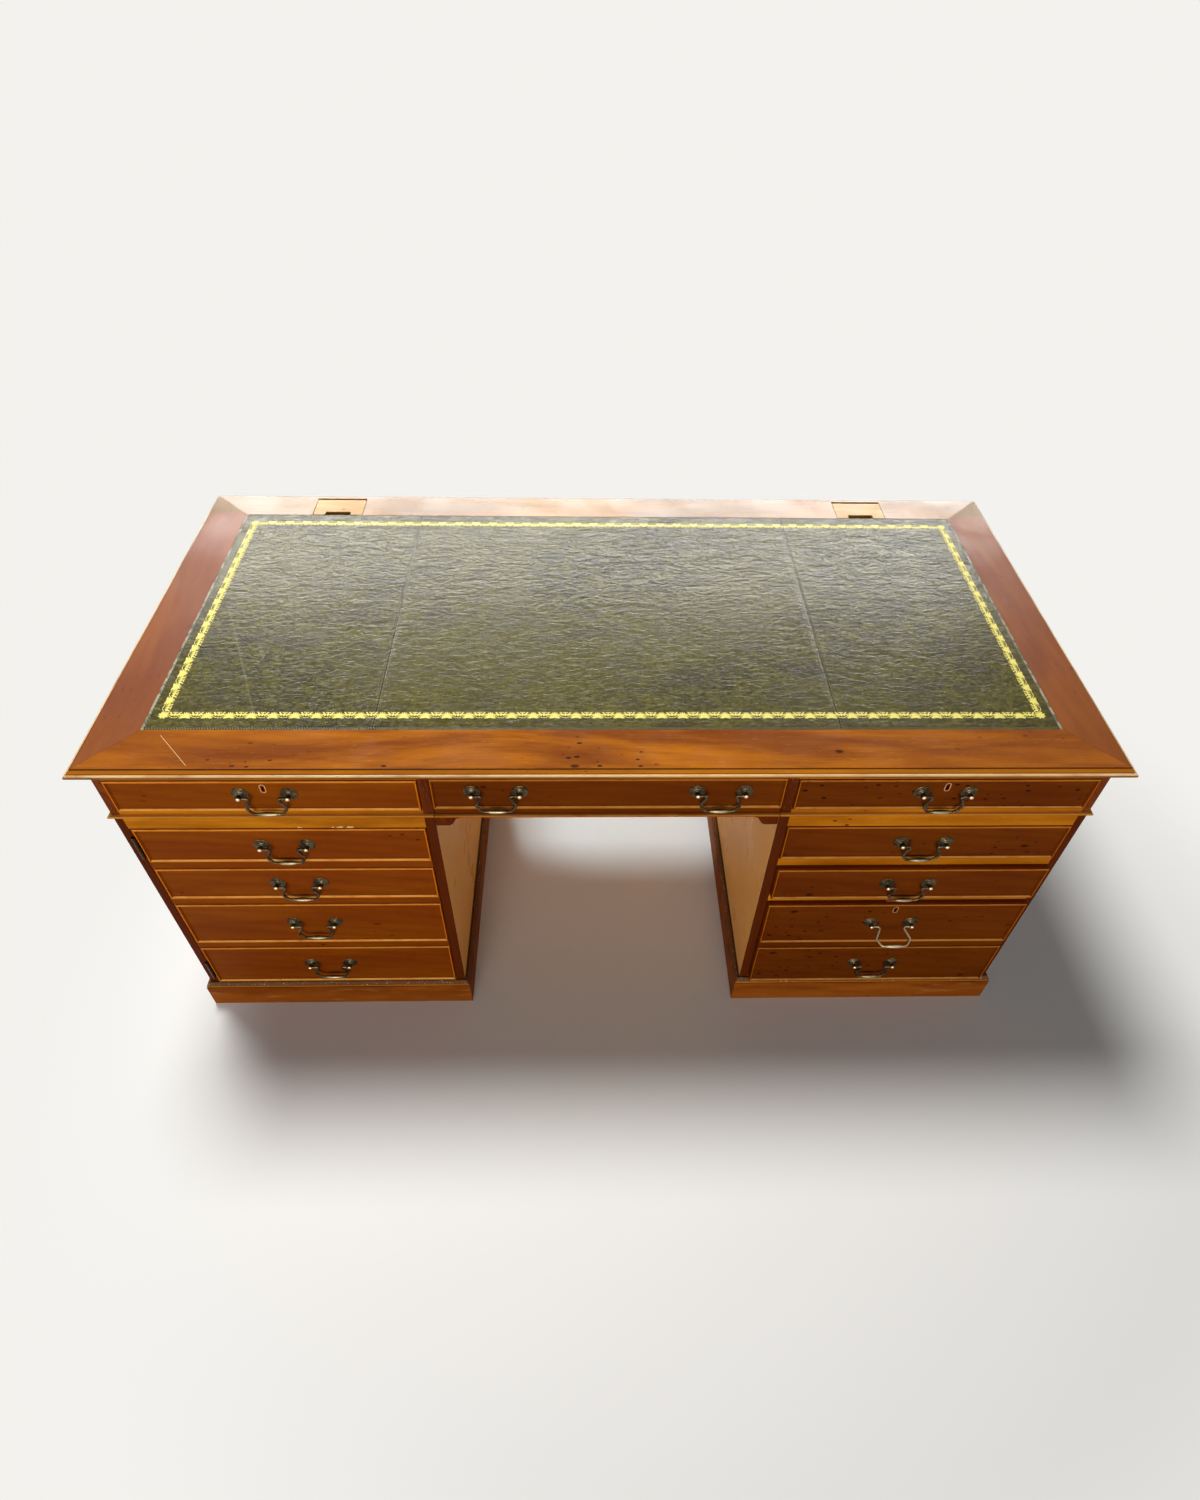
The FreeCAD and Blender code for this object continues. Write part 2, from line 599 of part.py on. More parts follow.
rails = {
    "left frieze": (bay_x["left"], (RAIL_UNDER, UNDER_TOP)),
    "centre frieze": ((f"-{KNEE_X}", KNEE_X), (CENTRE_RAIL_UNDER, UNDER_TOP)),
    "right frieze": (bay_x["right"], (RAIL_UNDER, UNDER_TOP)),
    "left pedestal": (bay_x["left"], (PEDESTAL_OPEN, "pedestal_height")),
    "right pedestal": (bay_x["right"], (PEDESTAL_OPEN, "pedestal_height")),
    "second": (bay_x["right"], SECOND_RAIL),
    "third": (bay_x["right"], THIRD_RAIL),
}
# rails that take a bolt: the lock's x, and how far the drawer below is left standing out
locked = {
    "left frieze": (f"-{OPENING_MID}", "0"),
    "right frieze": (OPENING_MID, "0"),
    "third": (OPENING_MID, "ajar"),
}
rail_boards = []
for name, (x, z) in rails.items():
    rail = board(f"rail {name}", x, RAIL_Y, z)
    if name in locked:
        half = "(bolt_width / 2 + bolt_gap)"
        middle, out = locked[name]
        mortise = board(f"mortise {name}", (f"{middle} - {half}", f"{middle} + {half}"),
                        (f"{BOLT_Y[0]} - {out} - bolt_gap", f"{BOLT_Y[1]} + bolt_gap"),
                        (z[0], f"{z[0]} + bolt_throw + bolt_gap"))
        rail = cut(f"rail with mortise {name}", rail, [mortise])
    rail_boards.append(rail)
node(group("front_rails", rail_boards))

# ---------------------------------------------------------------- mouldings


def mitred_length(label, outline, proud, inner, mitres):
    """A moulding: local X along it, Y outwards, Z up; an end given as True is mitred past the corner."""
    body = new_body(label)
    length = f"({inner} + {sum(mitres)} * {proud})"
    last = pad(body, "YZ_Plane", [("polygon", outline)], length)
    if mitres[0]:
        last = pocket(body, "XY_Plane", [("polygon", [("0", "0"), (proud, "0"), ("0", proud)])])
    if mitres[1]:
        corners = [(length, "0"), (length, proud), (f"{length} - {proud}", "0")]
        last = pocket(body, "XY_Plane", [("polygon", corners)])
    return body, last


WAIST = [("0", "0"), ("waist_proud", "0"), ("waist_proud", "waist_height"), ("0", "waist_height")]
PLINTH_NOSE = "(plinth_proud - plinth_step)"
PLINTH = [("0", "0"), ("plinth_proud", "0"), ("plinth_proud", "plinth_face"), (PLINTH_NOSE, "plinth_face"),
          (PLINTH_NOSE, "plinth_face + plinth_nose"), ("plinth_shoulder", "plinth_height"),
          ("0", "plinth_height")]
WAIST_Z = "(pedestal_height - waist_drop)"
FACING = {"front": 180, "rear": 0, "left": 90, "right": -90}


def set_length(body, facing, x, y, z):
    return place(body, x, y, z, Rotation(Vector(0, 0, 1), FACING[facing]))


def waist_length(label, inner, mitres):
    body, last = mitred_length(label, WAIST, "waist_proud", inner, mitres)
    round_face(body, last, "waist_round", size("waist_proud"))
    return body


PEDESTAL_WIDTH = f"({CARCASS_X} - {KNEE_X})"
CARCASS_DEPTH = f"(2 * {CARCASS_Y})"
waist = [
    set_length(waist_length("waist left front", PEDESTAL_WIDTH, (False, True)), "front",
               f"-{KNEE_X}", FRONT_Y, WAIST_Z),
    set_length(waist_length("waist left end", CARCASS_DEPTH, (True, True)), "left",
               f"-{CARCASS_X}", f"{FRONT_Y} - waist_proud", WAIST_Z),
    set_length(waist_length("waist rear", f"(2 * {CARCASS_X})", (True, True)), "rear",
               f"-{CARCASS_X} - waist_proud", CARCASS_Y, WAIST_Z),
    set_length(waist_length("waist right front", PEDESTAL_WIDTH, (True, False)), "front",
               f"{CARCASS_X} + waist_proud", FRONT_Y, WAIST_Z),
    set_length(waist_length("waist right end", CARCASS_DEPTH, (True, True)), "right",
               CARCASS_X, f"{CARCASS_Y} + waist_proud", WAIST_Z),
]
node(group("waist_mouldings", waist))

plinths = []
for side, low, high in (("left", f"-{CARCASS_X}", f"-{KNEE_X}"), ("right", KNEE_X, CARCASS_X)):
    stations = {
        "front": (PEDESTAL_WIDTH, f"{high} + plinth_proud", FRONT_Y),
        "rear": (PEDESTAL_WIDTH, f"{low} - plinth_proud", CARCASS_Y),
        "left": (CARCASS_DEPTH, low, f"{FRONT_Y} - plinth_proud"),
        "right": (CARCASS_DEPTH, high, f"{CARCASS_Y} + plinth_proud"),
    }
    for facing, (inner, x, y) in stations.items():
        body, _ = mitred_length(f"plinth {side} {facing}", PLINTH, "plinth_proud", inner, (True, True))
        plinths.append(set_length(body, facing, x, y, "0"))
node(group("plinths", plinths))

# ---------------------------------------------------------------- kneehole brackets

BRACKET_TOP = f"({WAIST_Z} - bracket_gap)"
brackets = []
for side in ("left", "right"):
    body = new_body(f"bracket {side}")
    across = {"left": lambda u: u, "right": lambda u: f"bracket_width - ({u})"}[side]
    shape = [("0", "0"), ("bracket_flat", "0"), ("bracket_flat + bracket_toe_out", "bracket_toe_up"),
             ("bracket_flat + bracket_heel_out", "bracket_heel_up"), ("bracket_width", "bracket_tip_up"),
             ("bracket_width", "bracket_height"), ("0", "bracket_height")]
    pad(body, "XZ_Plane", [("polygon", [(across(u), v) for u, v in shape])], "bracket_thickness")
    corner = {"left": f"-{KNEE_X}", "right": f"{KNEE_X} - bracket_width"}[side]
    brackets.append(place(body, corner, f"{FRONT_Y} + bracket_setback + bracket_thickness",
                          f"{BRACKET_TOP} - bracket_height"))
node(group("kneehole_brackets", brackets))

# ---------------------------------------------------------------- handles

FACE_ON = Rotation(Vector(1, 0, 0), 90)


def handle_post(label, thickness, inward, x, face_y, z):
    """A post with its rosette and shank, bored from its inner side for the bail's pin, and its nut."""
    body = new_body(f"{label} turning")
    field = f"(shank_spare + nut_thickness + {thickness})"
    steps = [f"({field} + rosette_rim)", f"({field} + rosette_rim + rosette_step)",
             f"({field} + rosette_rim + 2 * rosette_step)"]
    knob = (f"({field} + pivot_reach - knob_half)", f"({field} + pivot_reach + knob_half)")
    outline = [
        ("0", "0"), ("shank_radius", "0"), ("shank_radius", field), ("rosette_radius", field),
        ("rosette_radius", steps[0]), ("rosette_ring", steps[0]), ("rosette_ring", steps[1]),
        ("rosette_boss", steps[1]), ("rosette_boss", steps[2]), ("neck_radius", steps[2]),
        ("neck_radius", knob[0]), ("knob_radius", f"{knob[0]} + knob_chamfer"),
        ("knob_radius", f"{knob[1]} - knob_chamfer"), ("knob_radius - knob_chamfer", knob[1]), ("0", knob[1]),
    ]
    turning = body.newObject("PartDesign::Revolution", "Revolution")
    turning.Profile = new_sketch(body, "XZ_Plane", [("polygon", outline)])
    turning.ReferenceAxis = (turning.Profile[0], ["V_Axis"])
    turning.Angle = 360
    bore_start = {"+": "-pin_bore_past", "-": "pin_bore_past - 2 * knob_radius"}[inward]
    bore = rod(f"{label} bore", "x", "pin_radius + running_clearance", "2 * knob_radius", bore_start, "0",
               f"{field} + pivot_reach")
    post = place(cut(f"{label} post", body, [bore]), x, f"{face_y} + {field}", z, FACE_ON)
    blank = rod(f"{label} nut blank", "z", "nut_radius", "nut_thickness", "0", "0", "0")
    eye = rod(f"{label} nut eye", "z", "shank_radius + running_clearance", "nut_thickness", "0", "0", "0")
    nut = place(cut(f"{label} nut", blank, [eye]), x, f"{face_y} + {field} - shank_spare", z, FACE_ON)
    return [post, nut]


def handle_posts(label, thickness, handles, face_y):
    """Posts and nuts of every handle on one front, each handle given by its middle x and its z."""
    pieces = []
    for x, z in handles:
        for outward, inward in (("-", "+"), ("+", "-")):
            pieces += handle_post(label, thickness, inward, f"{x} {outward} handle_pitch / 2", face_y, z)
    return node(group(label, pieces))


def bail_solid():
    """Swan-neck bail in the XZ plane with its pivot along X: pins, elbows, bellies and a swelling grip."""
    post = size("handle_pitch") / 2
    shoulder = post - size("knob_radius") - size("bail_gap")
    drop = size("bail_drop")
    half = [
        (post - size("bail_elbow"), 0.0, size("elbow_bend")),
        (post - size("bail_belly"), -size("belly_drop"), size("belly_bend")),
        (post - size("foot_inset"), -drop, size("foot_bend")),
    ]
    corners = half + [(-x, z, bend) for x, z, bend in reversed(half)]
    path = [(shoulder, 0.0, 0.0)] + corners + [(-shoulder, 0.0, 0.0)]
    points = [Vector(x, 0, z) for x, z, _bend in path]
    edges = []
    start = points[0]
    for i, (_x, _z, bend) in enumerate(corners, start=1):
        back = (points[i - 1] - points[i]).normalize()
        onward = (points[i + 1] - points[i]).normalize()
        angle = math.acos(back.dot(onward)) / 2
        entry = points[i] + back * (bend / math.tan(angle))
        leave = points[i] + onward * (bend / math.tan(angle))
        middle = points[i] + (back + onward).normalize() * (bend / math.sin(angle) - bend)
        edges += [Part.LineSegment(start, entry).toShape(), Part.Arc(entry, middle, leave).toShape()]
        start = leave
    edges.append(Part.LineSegment(start, points[-1]).toShape())
    along = Vector(1, 0, 0)
    section = Part.Wire([Part.Circle(points[0], along, size("bail_radius")).toShape()])
    arms = Part.Wire(edges).makePipeShell([section], True, False)
    grip = size("grip_half")
    end = size("bail_radius") - size("grip_sink") - drop
    rim = [Vector(-grip, 0, end), Vector(0, 0, size("grip_radius") - drop), Vector(grip, 0, end)]
    foot = [Vector(grip, 0, -drop), Vector(-grip, 0, -drop)]
    swelling = Part.Face(Part.Wire([
        Part.Arc(*rim).toShape(),
        Part.LineSegment(rim[2], foot[0]).toShape(),
        Part.LineSegment(foot[0], foot[1]).toShape(),
        Part.LineSegment(foot[1], rim[0]).toShape(),
    ])).revolve(Vector(0, 0, -drop), along, 360)
    pins = [Part.makeCylinder(size("pin_radius"), post - shoulder, Vector(x, 0, 0), along)
            for x in (shoulder, -post)]
    return arms.fuse([swelling] + pins)


BAIL = bail_solid()


def add_bail(label, x, z, face_y, raised=0.0):
    """A bail on its handle, turned up from hanging by an angle in degrees."""
    bail = doc.addObject("Part::Feature", "Bail")
    bail.Label = label
    bail.Shape = BAIL
    return node(place(bail, x, f"{face_y} - pivot_reach", z, Rotation(Vector(-1, 0, 0), raised)))


# ---------------------------------------------------------------- locks


def obround(label, radius, x, y, z):
    """An upright obround plate between the two heights y, its middle at x, z."""
    length = f"{y[1]} - ({y[0]})"
    ends = [rod(f"{label} {name}", "y", radius, length, x, y[0], f"{z} {sign} escutcheon_straight")
            for name, sign in (("crown", "+"), ("foot", "-"))]
    between = board(f"{label} middle", (f"{x} - ({radius})", f"{x} + {radius}"), y,
                    (f"{z} - escutcheon_straight", f"{z} + escutcheon_straight"))
    return joined(label, ends + [between])


def escutcheon_ring(label, spare, x, face_y, z):
    """The brass line round a keyhole, or with spare room its groove."""
    y = (f"{face_y} - escutcheon_proud", f"{face_y} + escutcheon_inlay")
    outer = obround(f"{label} outside", f"escutcheon_radius + {spare}", x, y, z)
    inner = obround(f"{label} inside", f"escutcheon_radius - escutcheon_line - {spare}", x, y, z)
    return cut(label, outer, [inner])


def add_lock(name, x, top, face_y):
    """Lock case with its brass escutcheon, and the bolt; top is the upper edge of the front."""
    keyhole = f"({top} - keyhole_drop)"
    back = f"({face_y} + front_thickness)"
    case = board(f"lock case {name}", (f"{x} - lock_width / 2", f"{x} + lock_width / 2"),
                 (f"{back} - lock_depth", back), (f"{keyhole} - lock_below", top))
    bolt_x = (f"{x} - bolt_width / 2", f"{x} + bolt_width / 2")
    bolt_y = (f"{face_y} + bolt_setback", f"{face_y} + bolt_setback + bolt_thickness")
    bolt_z = (f"{top} - bolt_gap - bolt_length", f"{top} - bolt_gap")
    channel = board(f"lock channel {name}", (f"{bolt_x[0]} - bolt_gap", f"{bolt_x[1]} + bolt_gap"),
                    (f"{bolt_y[0]} - bolt_gap", f"{bolt_y[1]} + bolt_gap"), (f"{bolt_z[0]} - bolt_gap", top))
    to_channel = "(lock_depth - front_thickness + bolt_setback)"
    eye = rod(f"lock eye {name}", "y", "keyhole_radius", to_channel, x, f"{back} - lock_depth", keyhole)
    slot = board(f"lock slot {name}", (f"{x} - keyhole_slot / 2", f"{x} + keyhole_slot / 2"),
                 (f"{back} - lock_depth", f"{back} - lock_depth + {to_channel}"),
                 (f"{keyhole} - keyhole_length", keyhole))
    ring = escutcheon_ring(f"escutcheon {name}", "0", x, face_y, f"{keyhole} - keyhole_length / 4")
    node(group(f"lock_{name}", [cut(f"lock {name}", case, [channel, eye, slot]), ring]))
    node(board(f"bolt_{name}", bolt_x, bolt_y, bolt_z))


# ---------------------------------------------------------------- drawers and door


def front_blank(label, x, z, thickness, frames, handles):
    """A beaded front with its shank holes, in its own coordinates."""
    body = beaded_board(label, f"({x[1]} - ({x[0]}))", f"({z[1]} - {z[0]})", thickness, frames)
    pocket(body, "XZ_Plane", [("circle", f"{middle} {sign} handle_pitch / 2 - ({x[0]})", f"{height} - {z[0]}",
                               "shank_radius + running_clearance")
                              for middle, height in handles for sign in "-+"])
    return body


def cut_for_lock(label, body, x, z, middle, face_y):
    """The keyhole, the lock's recess and the escutcheon's groove; middle is the lock's x."""
    across = f"({middle} - ({x[0]}))"
    top = f"({z[1]} - {z[0]})"
    keyhole = f"({top} - keyhole_drop)"
    half = "(lock_width / 2 + lock_gap)"
    recess_z = (f"{keyhole} - lock_below - lock_gap", f"{top} + lock_gap")
    pocket(body, "XZ_Plane", [rectangle((f"{across} - {half}", f"{across} + {half}"), recess_z)],
           "lock_depth + lock_gap")
    pocket(body, "XZ_Plane", [("circle", across, keyhole, "keyhole_radius")])
    pocket(body, "XZ_Plane", [rectangle((f"{across} - keyhole_slot / 2", f"{across} + keyhole_slot / 2"),
                                        (f"{keyhole} - keyhole_length", keyhole))])
    groove = escutcheon_ring(f"{label} groove", "running_clearance", middle, face_y,
                             f"{z[1]} - keyhole_drop - keyhole_length / 4")
    return cut(label, body, [groove])


def add_box(label, x, face_y, foot, top):
    """Drawer sides, back and bottom between the two faces x of the carcass."""
    outer = (f"{x[0]} + box_side_gap", f"{x[1]} - box_side_gap")
    inner = (f"{outer[0]} + box_wall", f"{outer[1]} - box_wall")
    y = (f"{face_y} + front_thickness", f"{face_y} + front_thickness + box_length")
    before_back = f"{y[1]} - box_wall"
    node(group(label, [
        board(f"{label} left side", (outer[0], inner[0]), y, (foot, top)),
        board(f"{label} right side", (inner[1], outer[1]), y, (foot, top)),
        board(f"{label} back", inner, (before_back, y[1]), (foot, top)),
        board(f"{label} bottom", inner, (y[0], before_back), (f"{foot} + bottom_rise",
                                                               f"{foot} + bottom_rise + box_bottom")),
    ]))


AJAR_Y = f"({FRONT_Y} - ajar)"
LARGE_ROW = f"(({FILING_Z[1]} - {FILING_Z[0]} - row_band) / 2)"
UPPER_LARGE = (f"({FILING_Z[1]} - {LARGE_ROW})", FILING_Z[1])
LOWER_LARGE = (FILING_Z[0], f"({FILING_Z[0]} + {LARGE_ROW})")
CENTRE_X = (f"(front_gap - {KNEE_X})", f"({KNEE_X} - front_gap)")
CENTRE_Z = (WAIST_Z, f"({CENTRE_RAIL_UNDER} - front_gap)")


def bay_front(side):
    """The two edges of a front in the left or right bay."""
    low, high = bay_x[side]
    return (f"({low} + front_gap)", f"({high} - front_gap)")


def row_height(row, rise):
    """Height of the posts on a front between the two heights of a row."""
    return f"(({row[0]} + {row[1]}) / 2 + {rise})"


FRIEZE_HANDLE = row_height(FRIEZE_FRONT_Z, "frieze_handle_rise")
CENTRE_HANDLE = row_height(FRIEZE_FRONT_Z, "centre_handle_rise")
ROWS = [
    ("first", SECOND_Z, "small_handle_rise"),
    ("second", THIRD_Z, "small_handle_rise"),
    ("third", UPPER_LARGE, "large_handle_rise"),
    ("fourth", LOWER_LARGE, "large_handle_rise"),
]
SPAN = ("0", FRONT_WIDTH)

# name, bay, heights of the front, its raised frames, handle heights, face, sides' lower edge, locked
DRAWERS = [
    ("frieze_left", "left", FRIEZE_FRONT_Z, [FRIEZE_FRONT_Z], [FRIEZE_HANDLE], FRONT_Y,
     f"({FLOOR_TOP} + run_gap)", True),
    ("frieze_right", "right", FRIEZE_FRONT_Z, [FRIEZE_FRONT_Z], [FRIEZE_HANDLE], FRONT_Y,
     f"({FLOOR_TOP} + run_gap)", True),
    ("upper", "right", SECOND_Z, [SECOND_Z], [row_height(SECOND_Z, "small_handle_rise")], FRONT_Y,
     f"({SECOND_Z[0]} + box_foot)", False),
    ("middle", "right", THIRD_Z, [THIRD_Z], [row_height(THIRD_Z, "small_handle_rise")], AJAR_Y,
     f"({THIRD_Z[0]} + box_foot)", False),
    ("filing", "right", FILING_Z, [UPPER_LARGE, LOWER_LARGE],
     [row_height(UPPER_LARGE, "large_handle_rise"), row_height(LOWER_LARGE, "large_handle_rise")], AJAR_Y,
     f"({FILING_Z[0]} + box_foot)", True),
]
for name, side, z, frames, handle_heights, face_y, foot, locked_front in DRAWERS:
    x = bay_front(side)
    middle = {"left": f"-{OPENING_MID}", "right": OPENING_MID}[side]
    handles = [(middle, height) for height in handle_heights]
    raised_frames = [(SPAN, (f"{low} - {z[0]}", f"{high} - {z[0]}")) for low, high in frames]
    label = f"drawer_{name}_front"
    blank_label = f"{label} blank" if locked_front else label
    front = front_blank(blank_label, x, z, "front_thickness", raised_frames, handles)
    place(front, x[0], f"{face_y} + front_thickness", z[0])
    if locked_front:
        front = cut_for_lock(label, front, x, z, middle, face_y)
        add_lock(name, middle, z[1], face_y)
    node(front)
    add_box(f"drawer_{name}_box", bay_x[side], face_y, foot, f"{z[1]} - box_top_gap")
    handle_posts(f"drawer_{name}_posts", "front_thickness", handles, face_y)
    if len(handles) == 1:
        add_bail(f"bail_{name}", *handles[0], face_y)
    else:
        add_bail(f"bail_{name}_upper", *handles[0], face_y, size("raised_bail"))
        add_bail(f"bail_{name}_lower", *handles[1], face_y)

centre_handles = [(f"({CENTRE_X[0]} + centre_handle_inset)", CENTRE_HANDLE),
                  (f"({CENTRE_X[1]} - centre_handle_inset)", CENTRE_HANDLE)]
CENTRE_WIDTH = "(kneehole_width - 2 * front_gap)"
centre_frame = (("0", CENTRE_WIDTH), ("centre_bead_foot", f"{CENTRE_Z[1]} - {CENTRE_Z[0]}"))
centre_front = front_blank("centre front", CENTRE_X, CENTRE_Z, "front_thickness", [centre_frame],
                           centre_handles)
place(centre_front, CENTRE_X[0], f"{FRONT_Y} + front_thickness", CENTRE_Z[0])
centre_moulding = set_length(waist_length("centre moulding", CENTRE_WIDTH, (False, False)),
                             "front", CENTRE_X[1], FRONT_Y, WAIST_Z)
node(group("drawer_frieze_centre_front", [centre_front, centre_moulding]))
CENTRE_FOOT = f"({CENTRE_Z[0]} + centre_box_foot)"
add_box("drawer_frieze_centre_box", (f"-{KNEE_X}", KNEE_X), FRONT_Y, CENTRE_FOOT,
        f"{CENTRE_Z[1]} - box_top_gap")
handle_posts("drawer_frieze_centre_posts", "front_thickness", centre_handles, FRONT_Y)
for side, handle in zip(("left", "right"), centre_handles):
    add_bail(f"bail_frieze_centre_{side}", *handle, FRONT_Y)

# runners under the pedestal drawers and the centre drawer
RUNNER_Y = (RAIL_Y[1], BACK_Y)
runners = []
for name, x, foot, seat in (
        ("upper", (OPENING_IN, OPENING_OUT), f"({SECOND_Z[0]} + box_foot - run_gap)", "runner_height"),
        ("middle", (OPENING_IN, OPENING_OUT), f"({THIRD_Z[0]} + box_foot - run_gap)", "runner_height"),
        ("filing", (OPENING_IN, OPENING_OUT), f"({FILING_Z[0]} + box_foot - run_gap)",
         "(front_gap + box_foot - run_gap)"),
        ("centre", (f"-{KNEE_X}", KNEE_X), f"({CENTRE_FOOT} - run_gap)", "runner_height")):
    for end, stretch in (("left", (x[0], f"{x[0]} + runner_width")),
                         ("right", (f"{x[1]} - runner_width", x[1]))):
        runners.append(board(f"runner {name} {end}", stretch, RUNNER_Y, (f"{foot} - {seat}", foot)))
node(group("drawer_runners", runners))

# ---------------------------------------------------------------- cupboard door and its hinges

door_x = bay_front("left")
door_handles = [(f"-{OPENING_MID}", row_height(row, rise)) for _name, row, rise in ROWS]
door_frames = [(("hinge_side_inset", FRONT_WIDTH), (f"{row[0]} - {DOOR_Z[0]}", f"{row[1]} - {DOOR_Z[0]}"))
               for _name, row, _rise in ROWS]
door_blank = front_blank("door blank", door_x, DOOR_Z, "door_thickness", door_frames, door_handles)
place(door_blank, door_x[0], f"{FRONT_Y} + door_thickness", DOOR_Z[0])
handle_posts("door_posts", "door_thickness", door_handles, FRONT_Y)
for (name, _row, _rise), handle in zip(ROWS, door_handles):
    add_bail(f"bail_door_{name}", *handle, FRONT_Y)

AXIS_X = f"(front_gap / 2 - {OPENING_OUT})"
AXIS_Y = f"({FRONT_Y} - knuckle_reach)"
KNUCKLES = 5
knuckle_length = f"((hinge_length - {KNUCKLES - 1} * knuckle_gap) / {KNUCKLES})"
frame_leaves = []
door_leaves = []
hinge_pins = []
frame_mortises = []
door_mortises = []
for name, foot in (("lower", f"({DOOR_Z[0]} + hinge_inset)"),
                   ("upper", f"({DOOR_Z[1]} - hinge_inset - hinge_length)")):
    hinge_z = (foot, f"{foot} + hinge_length")
    bore = rod(f"hinge bore {name}", "z", "hinge_pin_radius + running_clearance", "hinge_length",
               AXIS_X, AXIS_Y, foot)
    hinge_pins.append(rod(f"hinge pin {name}", "z", "hinge_pin_radius", "hinge_length", AXIS_X, AXIS_Y, foot))
    leaf_x = {"frame": (f"-{OPENING_OUT} - leaf_thickness", f"-{OPENING_OUT}"),
              "door": (door_x[0], f"{door_x[0]} + leaf_thickness")}
    leaf_y = (FRONT_Y, f"{FRONT_Y} + leaf_width")
    for owner, first, leaves, mortises in (("frame", 0, frame_leaves, frame_mortises),
                                           ("door", 1, door_leaves, door_mortises)):
        x = leaf_x[owner]
        mortises.append(board(f"hinge mortise {name} {owner}", x, leaf_y, hinge_z))
        pieces = [board(f"hinge plate {name} {owner}", x, leaf_y, hinge_z)]
        for i in range(first, KNUCKLES, 2):
            start = f"({foot} + {i} * ({knuckle_length} + knuckle_gap))"
            pieces.append(board(f"hinge tab {name} {owner}", x, (AXIS_Y, FRONT_Y),
                                (start, f"{start} + {knuckle_length}")))
            pieces.append(rod(f"hinge knuckle {name} {owner}", "z", "knuckle_radius", knuckle_length, AXIS_X,
                              AXIS_Y, start))
        leaves.append(cut(f"hinge leaf {name} {owner}", joined(f"hinge blank {name} {owner}", pieces), [bore]))
node(cut("cupboard_door", door_blank, door_mortises))
node(group("hinge_frame_leaves", frame_leaves))
node(group("hinge_door_leaves", door_leaves))
node(group("hinge_pins", hinge_pins))

side_boards = []
for side in ("left", "right"):
    outer = board(f"pedestal side {side} outer", outer_board_x[side], FULL_Y, ("0", "pedestal_height"))
    if side == "left":
        outer = cut("pedestal side left outer with mortises", outer, frame_mortises)
    inner = board(f"pedestal side {side} inner", inner_board_x[side], FULL_Y, ("0", "pedestal_height"))
    side_boards += [outer, inner]
node(group("pedestal_sides", side_boards))

# ---------------------------------------------------------------- check and write

doc.recompute()
for thing in doc.Objects:
    if "Invalid" in thing.State or "Error" in thing.State:
        raise RuntimeError(f"{thing.Label}: {thing.State}")
for label, thing in NODES.items():
    if thing.Shape.isNull() or not thing.Shape.isValid():
        raise RuntimeError(f"{label}: the shape isn't sound")
os.makedirs("parts", exist_ok=True)
for label, thing in NODES.items():
    thing.Shape.exportStep(f"parts/{label}.step")
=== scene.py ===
"""Finish of a partners desk: yew veneers, a tooled leather top, turned brass handle posts and a studio stage."""

import math

import bpy
from mathutils import Color, Matrix, Vector


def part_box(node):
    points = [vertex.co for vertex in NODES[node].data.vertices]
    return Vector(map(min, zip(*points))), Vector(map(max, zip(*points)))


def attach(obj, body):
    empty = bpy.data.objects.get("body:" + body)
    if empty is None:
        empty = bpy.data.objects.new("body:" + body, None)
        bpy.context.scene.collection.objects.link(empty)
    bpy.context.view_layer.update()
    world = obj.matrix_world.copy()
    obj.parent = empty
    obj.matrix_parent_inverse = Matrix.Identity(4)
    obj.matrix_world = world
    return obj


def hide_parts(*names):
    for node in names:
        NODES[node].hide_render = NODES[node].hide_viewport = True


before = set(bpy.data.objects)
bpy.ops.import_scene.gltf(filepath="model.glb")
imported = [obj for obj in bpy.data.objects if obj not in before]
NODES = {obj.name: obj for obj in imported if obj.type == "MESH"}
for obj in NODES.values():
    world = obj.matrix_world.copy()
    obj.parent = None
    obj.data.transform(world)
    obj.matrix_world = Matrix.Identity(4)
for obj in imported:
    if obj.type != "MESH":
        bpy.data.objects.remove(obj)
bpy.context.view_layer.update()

bl_info = {
    "name": "Partners desk finish",
    "version": (1, 0, 0),
    "blender": (4, 5, 0),
    "location": "3D View > Sidebar > Desk",
    "description": "Veneers, leather, gold tooling, brasses and stage for a partners desk",
    "category": "Object",
}

MM = 0.001


def shade(red, green, blue):
    """A colour as it looks on screen, 0 to 255, in the scene's own linear values."""
    return tuple(Color((red / 255, green / 255, blue / 255)).from_srgb_to_scene_linear())


def colour(name, description, *seen):
    return bpy.props.FloatVectorProperty(name=name, description=description, subtype="COLOR", size=3,
                                         min=0.0, max=1.0, default=shade(*seen))


def number(name, description, default, **settings):
    return bpy.props.FloatProperty(name=name, description=description, default=default, **settings)


def distance(name, description, default):
    return number(name, description, default, min=0.0, subtype="DISTANCE", unit="LENGTH")


def factor(name, description, default):
    return number(name, description, default, min=0.0, max=1.0, subtype="FACTOR")


# ---- what a user would change


